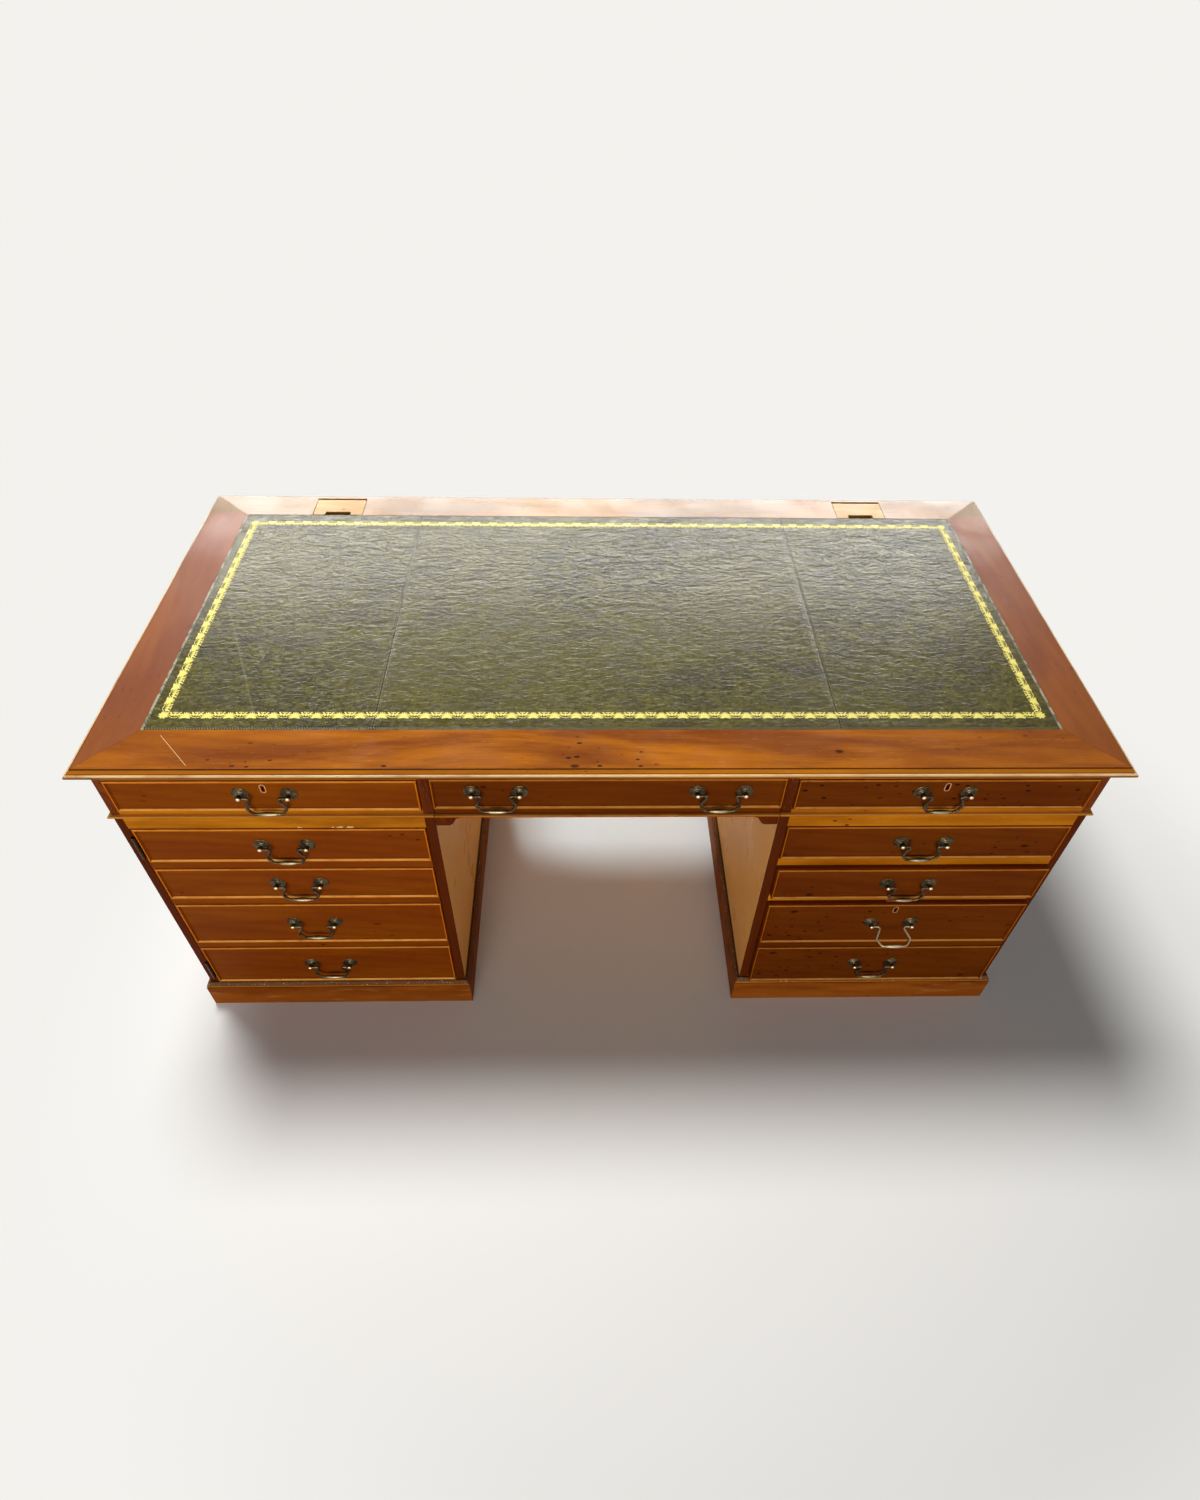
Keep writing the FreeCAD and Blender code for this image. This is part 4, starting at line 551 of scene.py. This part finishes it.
def leather_material():
    """Olive leather: mottled, wrinkled and rubbed, with a braided line pressed in along every edge, painted highlights
    on its strands and along the rims at both ends.
    """
    leather = bpy.context.scene.desk_leather
    low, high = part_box("leather_panels")
    look = Look("olive_leather", leather.ground)
    blotch = look.cloud((13.0, 17.0, 13.0), detail=6.0, roughness=0.68, distortion=0.6)
    look.lay(leather.patch, look.ease(blotch, 0.40, 0.62, 0.0, 0.85))
    look.lay(leather.patch, look.patches((60.0, 76.0, 60.0), 0.50, 0.66, 0.0, 0.75, (3.0, 1.0, 0.0),
                                         detail=5.0, roughness=0.7))
    look.lay(leather.rubbed_and_highlight, look.patches((30.0, 42.0, 30.0), 0.52, 0.72, 0.0, 0.65, (7.0, 2.0, 0.0),
                                          detail=6.0, roughness=0.7))
    grit = look.cloud((120.0, 150.0, 120.0), (5.0, 3.0, 0.0), roughness=0.6)
    look.lay(leather.patch, look.ease(grit, 0.50, 0.60, 0.0, 0.70))
    look.lay(leather.rubbed_and_highlight, look.ease(grit, 0.46, 0.38, 0.0, 0.35))
    look.lay(leather.rubbed_and_highlight, look.patches((2.6, 3.4, 2.6), 0.35, 0.65, 0.0, 0.30, (1.0, 5.0, 0.0), detail=2.0))
    across = look.sum("ABSOLUTE", look.x)
    to_end = look.less(high.x, across)
    to_joint = look.sum("ABSOLUTE", look.less(across, leather.joint))
    rim = look.least(to_end, look.less(look.y, low.y), look.less(high.y, look.y))
    edge_band = look.within(rim, 2.4, 6.0, 0.5)
    joint_band = look.within(to_joint, 1.4, 3.4, 0.5)
    running = look.sum("ADD", look.x, look.times(look.y, 0.6))
    # Painted highlight on the braid's raised strands, along the edges and the joints, over the dark pressed line.
    knot = look.ease(look.sum("SINE", look.times(running, 1300.0)), -0.3, 0.5)
    strand = look.blend(knot, leather.blind, leather.braid_highlight_and_scratch)
    look.lay(strand, edge_band, 0.85)
    look.lay(strand, joint_band, look.sum("MULTIPLY_ADD", knot, 0.35, 0.35))
    look.lay(leather.patch, look.fall(to_joint, 0.5 * MM, 1.4 * MM), 0.9)
    # Pale wear and a painted highlight along the rims at both ends.
    look.lay(leather.wear_and_highlight, look.within(to_end, 0.4, 4.2, 0.8),
             look.patches((90.0, 60.0, 90.0), 0.42, 0.60, 0.15, 0.75, detail=4.0))
    look.lay(leather.braid_highlight_and_scratch, 0.30, look.scratch(-0.7454, -0.0359, (0.1002, -0.2458), (-20.0, 280.0), 1.0, (30.0, 1.6)))
    # folds and creases deepen towards the rear; the braid and the pores lie over them
    folds = look.times(look.cloud((17.0, 36.0, 17.0), (6.0, 1.0, 0.0), detail=4.0, roughness=0.6, distortion=1.0),
                       look.ease(look.y, -0.10, 0.25, 0.15, 1.0))
    creases = look.times(look.cloud((44.0, 96.0, 44.0), (2.0, 4.0, 0.0), detail=5.0, roughness=0.62,
                                    distortion=1.2), look.ease(look.y, -0.05, 0.30, 1.0, 2.0))
    normal = look.bump(creases, 0.45, 1.7, look.bump(folds, 0.6, 5.0))
    normal = look.bump(look.times(look.most(edge_band, joint_band), knot), 0.9, -0.5, normal)
    pores = look.cells(look.mapped((900.0, 900.0, 900.0))).outputs["Distance"]
    normal = look.bump(pores, 0.16, 0.3, normal)
    return look.finish(look.ease(blotch, 0.3, 0.7, 0.15, 0.25), normal, shine=leather.shine)


def gold_material():
    """Gold leaf, broken where the skin is rubbed."""
    look = Look("gold_foil", bpy.context.scene.desk_leather.gold)
    broken = look.cloud(240.0, detail=4.0, roughness=0.65)
    look.lay(shade(196, 164, 60), look.ease(broken, 0.42, 0.74, 0.0, 0.55))
    return look.finish(0.45, look.bump(broken, 0.25, 0.2), shine=0.08)


def line_material():
    """Brass line round a keyhole, with the darker lock behind it."""
    brass = bpy.context.scene.desk_brass
    look = Look("escutcheon_brass", brass.line)
    fine = look.cloud(500.0)
    look.lay(brass.middle, look.ease(fine, 0.4, 0.7, 0.0, 0.5))
    hidden = look.blend(look.ease(fine, 0.4, 0.7), brass.dark, brass.middle)
    look.lay(hidden, look.ease(look.y, 0.8 * MM - brass.field, 3.0 * MM - brass.field))
    return look.finish(0.34, look.bump(fine, 0.1, 0.2), metal=0.9)


def steel_material():
    """Drawn steel of the bolts."""
    look = Look("bolt_steel", shade(150, 148, 142))
    drawn = look.cloud((60.0, 60.0, 900.0))
    look.lay(shade(104, 100, 92), look.ease(drawn, 0.35, 0.7))
    return look.finish(0.38, look.bump(drawn, 0.1, 0.2), metal=1.0)


# ---- modelling by hand


def clear_selection():
    bpy.ops.object.select_all(action="DESELECT")


def take(*things):
    """Select these objects alone; the last one is active."""
    clear_selection()
    for thing in things:
        thing.select_set(True)
    bpy.context.view_layer.objects.active = things[-1]


def settle(thing):
    """Bring an object back to the origin, with its place in its mesh."""
    take(thing)
    bpy.ops.object.transform_apply(location=True, rotation=True, scale=True)
    return thing


def edit_all():
    """Open the active mesh with all of it selected."""
    bpy.ops.object.mode_set(mode="EDIT")
    bpy.ops.mesh.select_all(action="SELECT")


def close_up():
    """Turn all faces of the open mesh outward and leave it."""
    bpy.ops.mesh.select_all(action="SELECT")
    bpy.ops.mesh.normals_make_consistent(inside=False)
    bpy.ops.object.mode_set(mode="OBJECT")


def joined(name, things):
    take(*things)
    if len(things) > 1:
        bpy.ops.object.join()
    result = bpy.context.object
    result.name = name
    result.data.name = name
    return result


def copied(thing, matrix):
    """A copy with its own mesh, moved in its mesh."""
    twin = thing.copy()
    twin.data = thing.data.copy()
    twin.data.transform(matrix)
    bpy.context.scene.collection.objects.link(twin)
    return twin


def dressed(thing, material, body, slot, *nodes):
    """Finish a new piece: its material, the body it rides on and the CAD pieces it stands for."""
    thing.data.materials.clear()
    thing.data.materials.append(material)
    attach(thing, body)
    if nodes:
        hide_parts(*nodes)


def turned(name, profile, segments=36):
    """A piece turned about the Y axis: a disc drawn out and widened ring by ring, from its back to its tip."""
    clear_selection()
    radius, y = profile[0]
    bpy.ops.mesh.primitive_circle_add(vertices=segments, radius=radius, fill_type="NGON", location=(0.0, y, 0.0),
                                      rotation=(math.radians(90.0), 0.0, 0.0))
    thing = bpy.context.object
    thing.name = name
    settle(thing)
    edit_all()
    for next_radius, next_y in profile[1:]:
        bpy.ops.mesh.extrude_region_move(TRANSFORM_OT_translate={"value": (0.0, next_y - y, 0.0)})
        ratio = next_radius / radius
        bpy.ops.transform.resize(value=(ratio, 1.0, ratio), center_override=(0.0, next_y, 0.0))
        radius, y = next_radius, next_y
    close_up()
    bpy.ops.object.shade_smooth_by_angle(angle=math.radians(34.0))
    return thing


# radius and Y of each ring of a post in millimetres, from its rosette's back to its tip
POST_PROFILE = (
    (15.0, 0.0), (15.0, -0.5), (14.6, -1.1), (13.9, -1.4), (13.1, -1.2), (12.5, -1.05), (11.7, -1.3),
    (11.3, -2.0), (10.5, -2.5), (9.5, -2.4), (8.5, -2.35), (7.6, -2.8), (7.0, -3.4), (6.0, -3.6),
    (4.7, -3.9), (3.6, -4.6), (3.15, -5.6), (3.5, -6.8), (4.3, -7.5), (4.65, -8.6), (4.7, -11.2),
    (4.6, -13.4), (4.15, -14.8), (3.2, -15.8), (1.9, -16.4), (0.5, -16.6),
)
# the shank, its nut and the places of a bail's pivots, in millimetres
SHANK, SHANK_SPARE, NUT_RADIUS, NUT_THICKNESS, PIVOT_OUT, HALF_PITCH = 2.5, 1.5, 6.0, 3.5, 12.0, 42.5


def handle_post(thickness):
    """One turned post with its nut, its front at Y 0; thickness is the board's, in millimetres."""
    back = thickness + NUT_THICKNESS + SHANK_SPARE
    profile = [(SHANK - 0.5, back), (SHANK, back - 0.5), (SHANK, 0.0), *POST_PROFILE]
    post = turned("post", [(radius * MM, y * MM) for radius, y in profile])
    clear_selection()
    bpy.ops.mesh.primitive_cylinder_add(vertices=6, radius=NUT_RADIUS * MM, depth=NUT_THICKNESS * MM,
                                        location=(0.0, (thickness + NUT_THICKNESS / 2) * MM, 0.0),
                                        rotation=(math.radians(90.0), 0.0, 0.0))
    nut = settle(bpy.context.object)
    edit_all()
    bpy.ops.mesh.bevel(offset=0.5 * MM, segments=2, affect="EDGES")
    bpy.ops.object.mode_set(mode="OBJECT")
    return joined("post", [nut, post])


# where the handles' middles are: X in each pedestal and in the centre drawer, Z in the frieze and row by row below
SIDE_X, CENTRE_X = 0.602, 0.199
FRIEZE_Z, CENTRE_Z = 0.7145, 0.719
ROW_Z = (0.5727, 0.4537, 0.316375, 0.156125)
# thickness of a drawer's front and of the door, in millimetres
THIN, THICK = 16.0, 20.0

# body, thickness of its front, whether it stands ajar, and its bails with the middle of each
HANDLES = (
    ("drawer_frieze_left", THIN, False, (("frieze_left", -SIDE_X, FRIEZE_Z),)),
    ("drawer_frieze_centre", THIN, False, (("frieze_centre_left", -CENTRE_X, CENTRE_Z),
                                           ("frieze_centre_right", CENTRE_X, CENTRE_Z))),
    ("drawer_frieze_right", THIN, False, (("frieze_right", SIDE_X, FRIEZE_Z),)),
    ("drawer_upper", THIN, False, (("upper", SIDE_X, ROW_Z[0]),)),
    ("drawer_middle", THIN, True, (("middle", SIDE_X, ROW_Z[1]),)),
    ("drawer_filing", THIN, True, (("filing_upper", SIDE_X, ROW_Z[2]), ("filing_lower", SIDE_X, ROW_Z[3]))),
    ("door", THICK, False, tuple((f"door_{row}", -SIDE_X, z)
                                 for row, z in zip(("first", "second", "third", "fourth"), ROW_Z))),
)
RAISED = "filing_upper"
RAISED_TURN = math.radians(-68.0)


def face_y(out):
    """Y of the field of a front that is shut, or that stands out ajar."""
    brass = bpy.context.scene.desk_brass
    return -brass.field - (brass.ajar if out else 0.0)


# ---- operators


class DESK_OT_top(bpy.types.Operator):
    """Veneer the top's border, core and flaps"""

    bl_idname = "desk.top"
    bl_label = "Veneer the top"

    def execute(self, context):
        wood = context.scene.desk_wood
        paint(border_material(), "top_border")
        paint(plain_material("core_timber", "x", wood.side_deep, wood.side_warm, (1.3, 0.2, 0.8)), "top_core")
        flap = plain_material("flap_yew", "x", wood.flap_deep, wood.flap_warm, (7.7, 3.1, 0.4), 0.35,
                              roughness=0.32, shine=wood.top_shine)
        paint(flap, "cable_flap_left", "cable_flap_right")
        return {"FINISHED"}


class DESK_OT_fronts(bpy.types.Operator):
    """Veneer the drawer fronts and the door"""

    bl_idname = "desk.fronts"
    bl_label = "Veneer the fronts"

    def execute(self, context):
        share = context.scene.desk_wood.pip_share
        paint(front_material("quiet_front_yew", 0.0, (0.0, 0.3, 0.0), 0.6 * share),
              "drawer_frieze_left_front", "drawer_frieze_centre_front", "cupboard_door")
        paint(front_material("front_yew", 0.0, (3.3, 0.3, 0.7), 1.8 * share),
              "drawer_frieze_right_front", "drawer_upper_front")
        paint(front_material("ajar_front_yew", context.scene.desk_brass.ajar, (5.1, 0.3, 1.9), 1.8 * share),
              "drawer_middle_front", "drawer_filing_front")
        return {"FINISHED"}


class DESK_OT_carcass(bpy.types.Operator):
    """Veneer the rails, sides, backs, brackets, mouldings and plinths"""

    bl_idname = "desk.carcass"
    bl_label = "Veneer the carcass"

    def execute(self, context):
        wood = context.scene.desk_wood
        paint(rail_material(), "front_rails", "waist_mouldings", "frieze_floors")
        paint(side_material(), "pedestal_sides")
        paint(plain_material("frieze_yew", "y", wood.side_deep, wood.side_warm, (0.2, 1.4, 2.2)), "frieze_ends")
        paint(plain_material("stile_yew", "z", wood.stile, wood.side_deep, (2.0, 0.1, 0.4), 0.0),
              "frieze_partitions", "kneehole_brackets")
        paint(front_material("back_yew", 0.0, (2.7, 4.1, 0.6), wood.pip_share), "pedestal_backs", "frieze_back")
        paint(plinth_material(), "plinths")
        return {"FINISHED"}


class DESK_OT_insides(bpy.types.Operator):
    """Finish the drawer boxes, runners, shelf and boards inside"""

    bl_idname = "desk.insides"
    bl_label = "Finish the insides"

    def execute(self, context):
        paint(inner_material(), "drawer_frieze_left_box", "drawer_frieze_centre_box", "drawer_frieze_right_box",
              "drawer_upper_box", "drawer_middle_box", "drawer_filing_box", "cupboard_shelf",
              "drawer_runners", "pedestal_bottoms")
        return {"FINISHED"}


class DESK_OT_leather(bpy.types.Operator):
    """Lay the three skins of leather"""

    bl_idname = "desk.leather"
    bl_label = "Lay the leather"

    def skin(self, name, x, y, z, wrinkle):
        """A skin between two pairs of edges: a sheet subdivided, turned down at its rim and left to wrinkle."""
        rim, turned_down, flat_rim = 0.8 * MM, 0.25 * MM, 2 * MM
        clear_selection()
        bpy.ops.mesh.primitive_plane_add(size=1.0, location=(sum(x) / 2, sum(y) / 2, z[1]))
        sheet = bpy.context.object
        sheet.name = name
        sheet.scale = (x[1] - x[0], y[1] - y[0], 1.0)
        settle(sheet)
        edit_all()
        bpy.ops.mesh.inset(thickness=rim)
        bpy.ops.mesh.subdivide(number_cuts=60)
        bpy.ops.mesh.select_all(action="SELECT")
        bpy.ops.mesh.region_to_loop()
        bpy.ops.transform.translate(value=(0.0, 0.0, -turned_down))
        bpy.ops.mesh.extrude_edges_move(TRANSFORM_OT_translate={"value": (0.0, 0.0, z[0] - z[1] + turned_down)})
        close_up()
        inside = sheet.vertex_groups.new(name="field")
        middle = [v.index for v in sheet.data.vertices
                  if x[0] + flat_rim < v.co.x < x[1] - flat_rim and y[0] + flat_rim < v.co.y < y[1] - flat_rim]
        inside.add(middle, 1.0, "REPLACE")
        swell = bpy.data.textures.new(f"{name}_wrinkles", "CLOUDS")
        swell.noise_scale = 0.055
        swell.noise_depth = 3
        lift = sheet.modifiers.new("Wrinkles", "DISPLACE")
        lift.texture = swell
        lift.texture_coords = "LOCAL"
        lift.direction = "Z"
        lift.mid_level = 1.0
        lift.strength = wrinkle
        lift.vertex_group = inside.name
        bpy.ops.object.modifier_apply(modifier=lift.name)
        bpy.ops.object.shade_smooth_by_angle(angle=math.radians(40.0))
        return sheet

    def execute(self, context):
        leather = context.scene.desk_leather
        low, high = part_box("leather_panels")
        hide = leather_material()
        ends = (low.x, -leather.joint, leather.joint, high.x)
        for i, name in enumerate(("leather_left", "leather_centre", "leather_right")):
            skin = self.skin(name, ends[i:i + 2], (low.y, high.y), (low.z, high.z), leather.wrinkle)
            dressed(skin, hide, "desk", "leather", "leather_panels")
        return {"FINISHED"}


class DESK_OT_tooling(bpy.types.Operator):
    """Tool the gold border: shells and sprigs by turns, with a rosette at each corner"""

    bl_idname = "desk.tooling"
    bl_label = "Tool the leather in gold"

    def leaf(self, x, y, length, width, turn, foil):
        """One pressed leaf: a small disc drawn out to a lens and given the foil's thickness."""
        clear_selection()
        bpy.ops.mesh.primitive_circle_add(vertices=8, radius=0.5, fill_type="NGON", location=(x, y, 0.0),
                                          rotation=(0.0, 0.0, turn))
        shape = bpy.context.object
        shape.scale = (width, length, 1.0)
        settle(shape)
        edit_all()
        bpy.ops.mesh.extrude_region_move(TRANSFORM_OT_translate={"value": (0.0, 0.0, foil)})
        close_up()
        return shape

    def fan(self, name, count, spread, reach, heart, foil):
        """Leaves spread from one foot, joined by a heart that stands off the foot by a share of the reach."""
        leaves = []
        for i in range(count):
            angle = spread * (i / (count - 1) - 0.5)
            leaves.append(self.leaf(-math.sin(angle) * reach * 0.56, math.cos(angle) * reach * 0.56,
                                    reach * 0.92, reach * spread / count * 0.72, angle, foil))
        leaves.append(self.leaf(0.0, reach * heart, reach * 0.84, reach * 1.10, 0.0, 2.0 * foil))
        return joined(name, leaves)

    def sprig(self, name, foil):
        """Three sprigs over a garland, with dots between them."""
        leaves = []
        for x, lean in ((-6.4, 0.45), (0.0, 0.0), (6.4, -0.45)):
            leaves.append(self.leaf(x * MM, 2.0 * MM, 12.4 * MM, 3.4 * MM, lean, 1.5 * foil))
            for side in (-1, 1):
                leaves.append(self.leaf((x + 2.0 * side) * MM, 0.4 * MM, 6.0 * MM, 2.2 * MM, lean - 0.7 * side, foil))
        for x in (-9.2, -3.2, 3.2, 9.2):
            leaves.append(self.leaf(x * MM, 6.6 * MM, 2.8 * MM, 2.8 * MM, 0.0, foil))
        for i in range(7):
            angle = math.radians(-66.0 + 22.0 * i)
            leaves.append(self.leaf(12.0 * MM * math.sin(angle), 5.0 * MM - 12.4 * MM * math.cos(angle),
                                    1.6 * MM, 4.9 * MM, angle, foil))
        return joined(name, leaves)

    def execute(self, context):
        leather = context.scene.desk_leather
        foil = leather.foil
        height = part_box("leather_panels")[1].z
        shell = self.fan("shell", 9, math.radians(190.0), 10.5 * MM, 0.30, foil)
        shell.data.transform(Matrix.Translation((0.0, -6.4 * MM, 0.0)) @ Matrix.Diagonal((1.0, 1.36, 1.0, 1.0)))
        corner = self.fan("corner", 9, math.radians(320.0), 10.0 * MM, 0.0, foil)
        sprig = self.sprig("sprig", foil)
        middle_y = (leather.band_rear - leather.band_front) / 2
        width, depth = 2 * leather.band_x, leather.band_rear + leather.band_front
        runs = ((0.0, -leather.band_front, width, 0.0), (leather.band_x, middle_y, depth, 90.0),
                (0.0, leather.band_rear, width, 180.0), (-leather.band_x, middle_y, depth, 270.0))
        marks = []
        for x, y, length, degrees in runs:
            placed = Matrix.Translation((x, y, height)) @ Matrix.Rotation(math.radians(degrees), 4, "Z")
            steps = round((length - leather.pitch) / leather.pitch) + 1
            step = length / steps
            for i in range(steps):
                marks.append(copied(sprig, placed @ Matrix.Translation(((i + 0.5 - steps / 2) * step, 0.0, 0.0))))
            for i in range(1, steps):
                marks.append(copied(shell, placed @ Matrix.Translation(((i - steps / 2) * step, 0.0, 0.0))))
            at_end = placed @ Matrix.Translation((length / 2, 0.0, 0.0))
            marks.append(copied(corner, at_end @ Matrix.Rotation(math.radians(45.0), 4, "Z")))
        for pattern in (shell, corner, sprig):
            bpy.data.objects.remove(pattern)
        dressed(joined("gold_tooling", marks), gold_material(), "desk", "leather")
        return {"FINISHED"}


class DESK_OT_posts(bpy.types.Operator):
    """Turn the handle posts and fit them in place of the plain ones"""

    bl_idname = "desk.posts"
    bl_label = "Turn the handle posts"

    def execute(self, context):
        tip = POST_PROFILE[-1][1] * MM
        finishes = {out: bronze(f"post_bronze_{'ajar' if out else 'closed'}", tip_y=face_y(out) + tip)
                    for out in (False, True)}
        patterns = {thickness: handle_post(thickness) for thickness in (THIN, THICK)}
        for body, thickness, out, bails in HANDLES:
            posts = [copied(patterns[thickness], Matrix.Translation((x + side * HALF_PITCH * MM, face_y(out), z)))
                     for _bail, x, z in bails for side in (-1, 1)]
            node = f"{body}_posts"
            dressed(joined(f"turned_{node}", posts), finishes[out], body, "handle_brass", node)
        for pattern in patterns.values():
            bpy.data.objects.remove(pattern)
        return {"FINISHED"}


class DESK_OT_brasses(bpy.types.Operator):
    """Finish the bails, locks, bolts, hinges and pins"""

    bl_idname = "desk.brasses"
    bl_label = "Finish the brasses"

    def execute(self, context):
        for _body, _thickness, out, bails in HANDLES:
            for bail, x, z in bails:
                # The raised bail gets a painted highlight all over.
                turn, highlight_share = (RAISED_TURN, 0.3) if bail == RAISED else (0.0, 0.0)
                paint(bronze(f"bail_{bail}_bronze", (x, face_y(out) - PIVOT_OUT * MM, z), turn, highlight_share=highlight_share),
                      f"bail_{bail}")
        paint(line_material(), *LOCKS)
        paint(steel_material(), "bolt_frieze_left", "bolt_frieze_right", "bolt_filing")
        paint(bronze("hinge_bronze", dull=0.75), "hinge_frame_leaves", "hinge_door_leaves", "hinge_pins", "flap_pins")
        return {"FINISHED"}


class DESK_OT_stage(bpy.types.Operator):
    """Set the floor, the lamps, the surroundings and the camera"""

    bl_idname = "desk.stage"
    bl_label = "Set the stage"

    def floor_material(self, stage):
        """A dull floor that keeps shadows near the desk and turns into the plain background further out."""
        look = Look("pale_floor", stage.floor)
        look.finish(1.0, shine=0.0)
        seen = look.seen_direct()
        glow = look.add("Emission", {"Color": tuple(stage.pale), "Strength": look.times(seen, stage.lift)})
        lifted = look.add("AddShader", {0: look.surface.outputs[0], 1: glow.outputs[0]})
        far_glow = look.add("Emission", {"Color": tuple(stage.pale)})
        reach = look.add("VectorMath", {0: look.place, 1: (0.3, -0.3, 0.0)}, operation="DISTANCE")
        far = look.times(seen, look.ease(reach.outputs["Value"], 1.05, 1.6))
        mixed = look.add("MixShader", {0: far, 1: lifted.outputs[0], 2: far_glow.outputs[0]})
        look.feed(look.tree.nodes["Material Output"].inputs["Surface"], mixed.outputs[0])
        return look.material

    def surroundings(self, stage):
        """The pale background, which lights the desk only faintly."""
        world = bpy.data.worlds.new("studio")
        world.use_nodes = True
        nodes = Nodes(world.node_tree)
        strength = nodes.add("MapRange", {"Value": nodes.seen_direct(), "To Min": stage.ambient})
        background = nodes.tree.nodes["Background"]
        nodes.feed(background.inputs["Color"], tuple(stage.pale))
        nodes.feed(background.inputs["Strength"], strength.outputs["Result"])
        bpy.context.scene.world = world

    def lamp(self, name, kind, place, direction, strength, **settings):
        """A lamp at a place that shines in a direction and isn't seen itself."""
        lamp = bpy.data.objects.new(name, bpy.data.lights.new(name, kind))
        lamp.data.energy = strength
        lamp.location = place
        lamp.rotation_euler = Vector(direction).to_track_quat("-Z", "Y").to_euler()
        lamp.visible_camera = False
        for key, value in settings.items():
            setattr(lamp.data, key, value)
        bpy.context.scene.collection.objects.link(lamp)
        return lamp

    def execute(self, context):
        stage = context.scene.desk_stage
        clear_selection()
        bpy.ops.mesh.primitive_plane_add(size=80.0)
        floor = bpy.context.object
        floor.name = "floor"
        floor.data.materials.append(self.floor_material(stage))
        self.surroundings(stage)
        self.lamp("overhead", "AREA", (-1.43, 1.30, 5.60), (0.0, 0.0, -1.0), stage.key, shape="DISK", size=2.1)
        window = self.lamp("window", "AREA", (0.0, 4.0, 2.50), (0.0, -4.0, -1.71), stage.window,
                           shape="RECTANGLE", size=6.0, size_y=1.0)
        window.visible_diffuse = False
        self.lamp("low", "SUN", (0.0, 0.0, 1.0), (0.12, 1.0, -0.04), stage.low, angle=math.radians(40.0))
        self.lamp("beam", "SPOT", (-0.44, 1.32, 1.85), (0.54, -1.20, -1.85), stage.beam,
                  spot_size=math.radians(19.0), spot_blend=0.6, color=(0.82, 0.95, 1.0), shadow_soft_size=0.12)
        camera = bpy.data.objects.new("camera", bpy.data.cameras.new("camera"))
        camera.location = stage.eye
        camera.rotation_euler = stage.turn
        camera.data.lens = stage.lens
        camera.data.shift_x = stage.shift_x
        camera.data.shift_y = stage.shift_y
        camera.data.clip_end = 200.0
        context.scene.collection.objects.link(camera)
        context.scene.camera = camera
        context.scene.view_settings.view_transform = "Standard"
        return {"FINISHED"}


class DESK_PT_finish(bpy.types.Panel):
    """Sizes, colours and steps of the finish"""

    bl_idname = "DESK_PT_finish"
    bl_label = "Desk finish"
    bl_space_type = "VIEW_3D"
    bl_region_type = "UI"
    bl_category = "Desk"

    def draw(self, context):
        layout = self.layout
        for group in GROUPS:
            box = layout.box()
            settings = getattr(context.scene, group)
            for name in settings.__annotations__:
                box.prop(settings, name)
        for step in STEPS:
            layout.operator(step.bl_idname, text=step.bl_label)


STEPS = (DESK_OT_top, DESK_OT_fronts, DESK_OT_carcass, DESK_OT_insides, DESK_OT_leather, DESK_OT_tooling,
         DESK_OT_posts, DESK_OT_brasses, DESK_OT_stage)
GROUPS = {"desk_wood": DeskWood, "desk_leather": DeskLeather, "desk_brass": DeskBrass, "desk_stage": DeskStage}


def register():
    for kind in (*GROUPS.values(), *STEPS, DESK_PT_finish):
        bpy.utils.register_class(kind)
    for name, kind in GROUPS.items():
        setattr(bpy.types.Scene, name, bpy.props.PointerProperty(type=kind))


def unregister():
    for name in GROUPS:
        delattr(bpy.types.Scene, name)
    for kind in (DESK_PT_finish, *reversed(STEPS), *reversed(GROUPS.values())):
        bpy.utils.unregister_class(kind)


def main():
    register()
    bpy.ops.desk.top()
    bpy.ops.desk.fronts()
    bpy.ops.desk.carcass()
    bpy.ops.desk.insides()
    bpy.ops.desk.leather()
    bpy.ops.desk.tooling()
    bpy.ops.desk.posts()
    bpy.ops.desk.brasses()
    bpy.ops.desk.stage()
    bpy.context.view_layer.update()


if __name__ == "__main__":
    main()
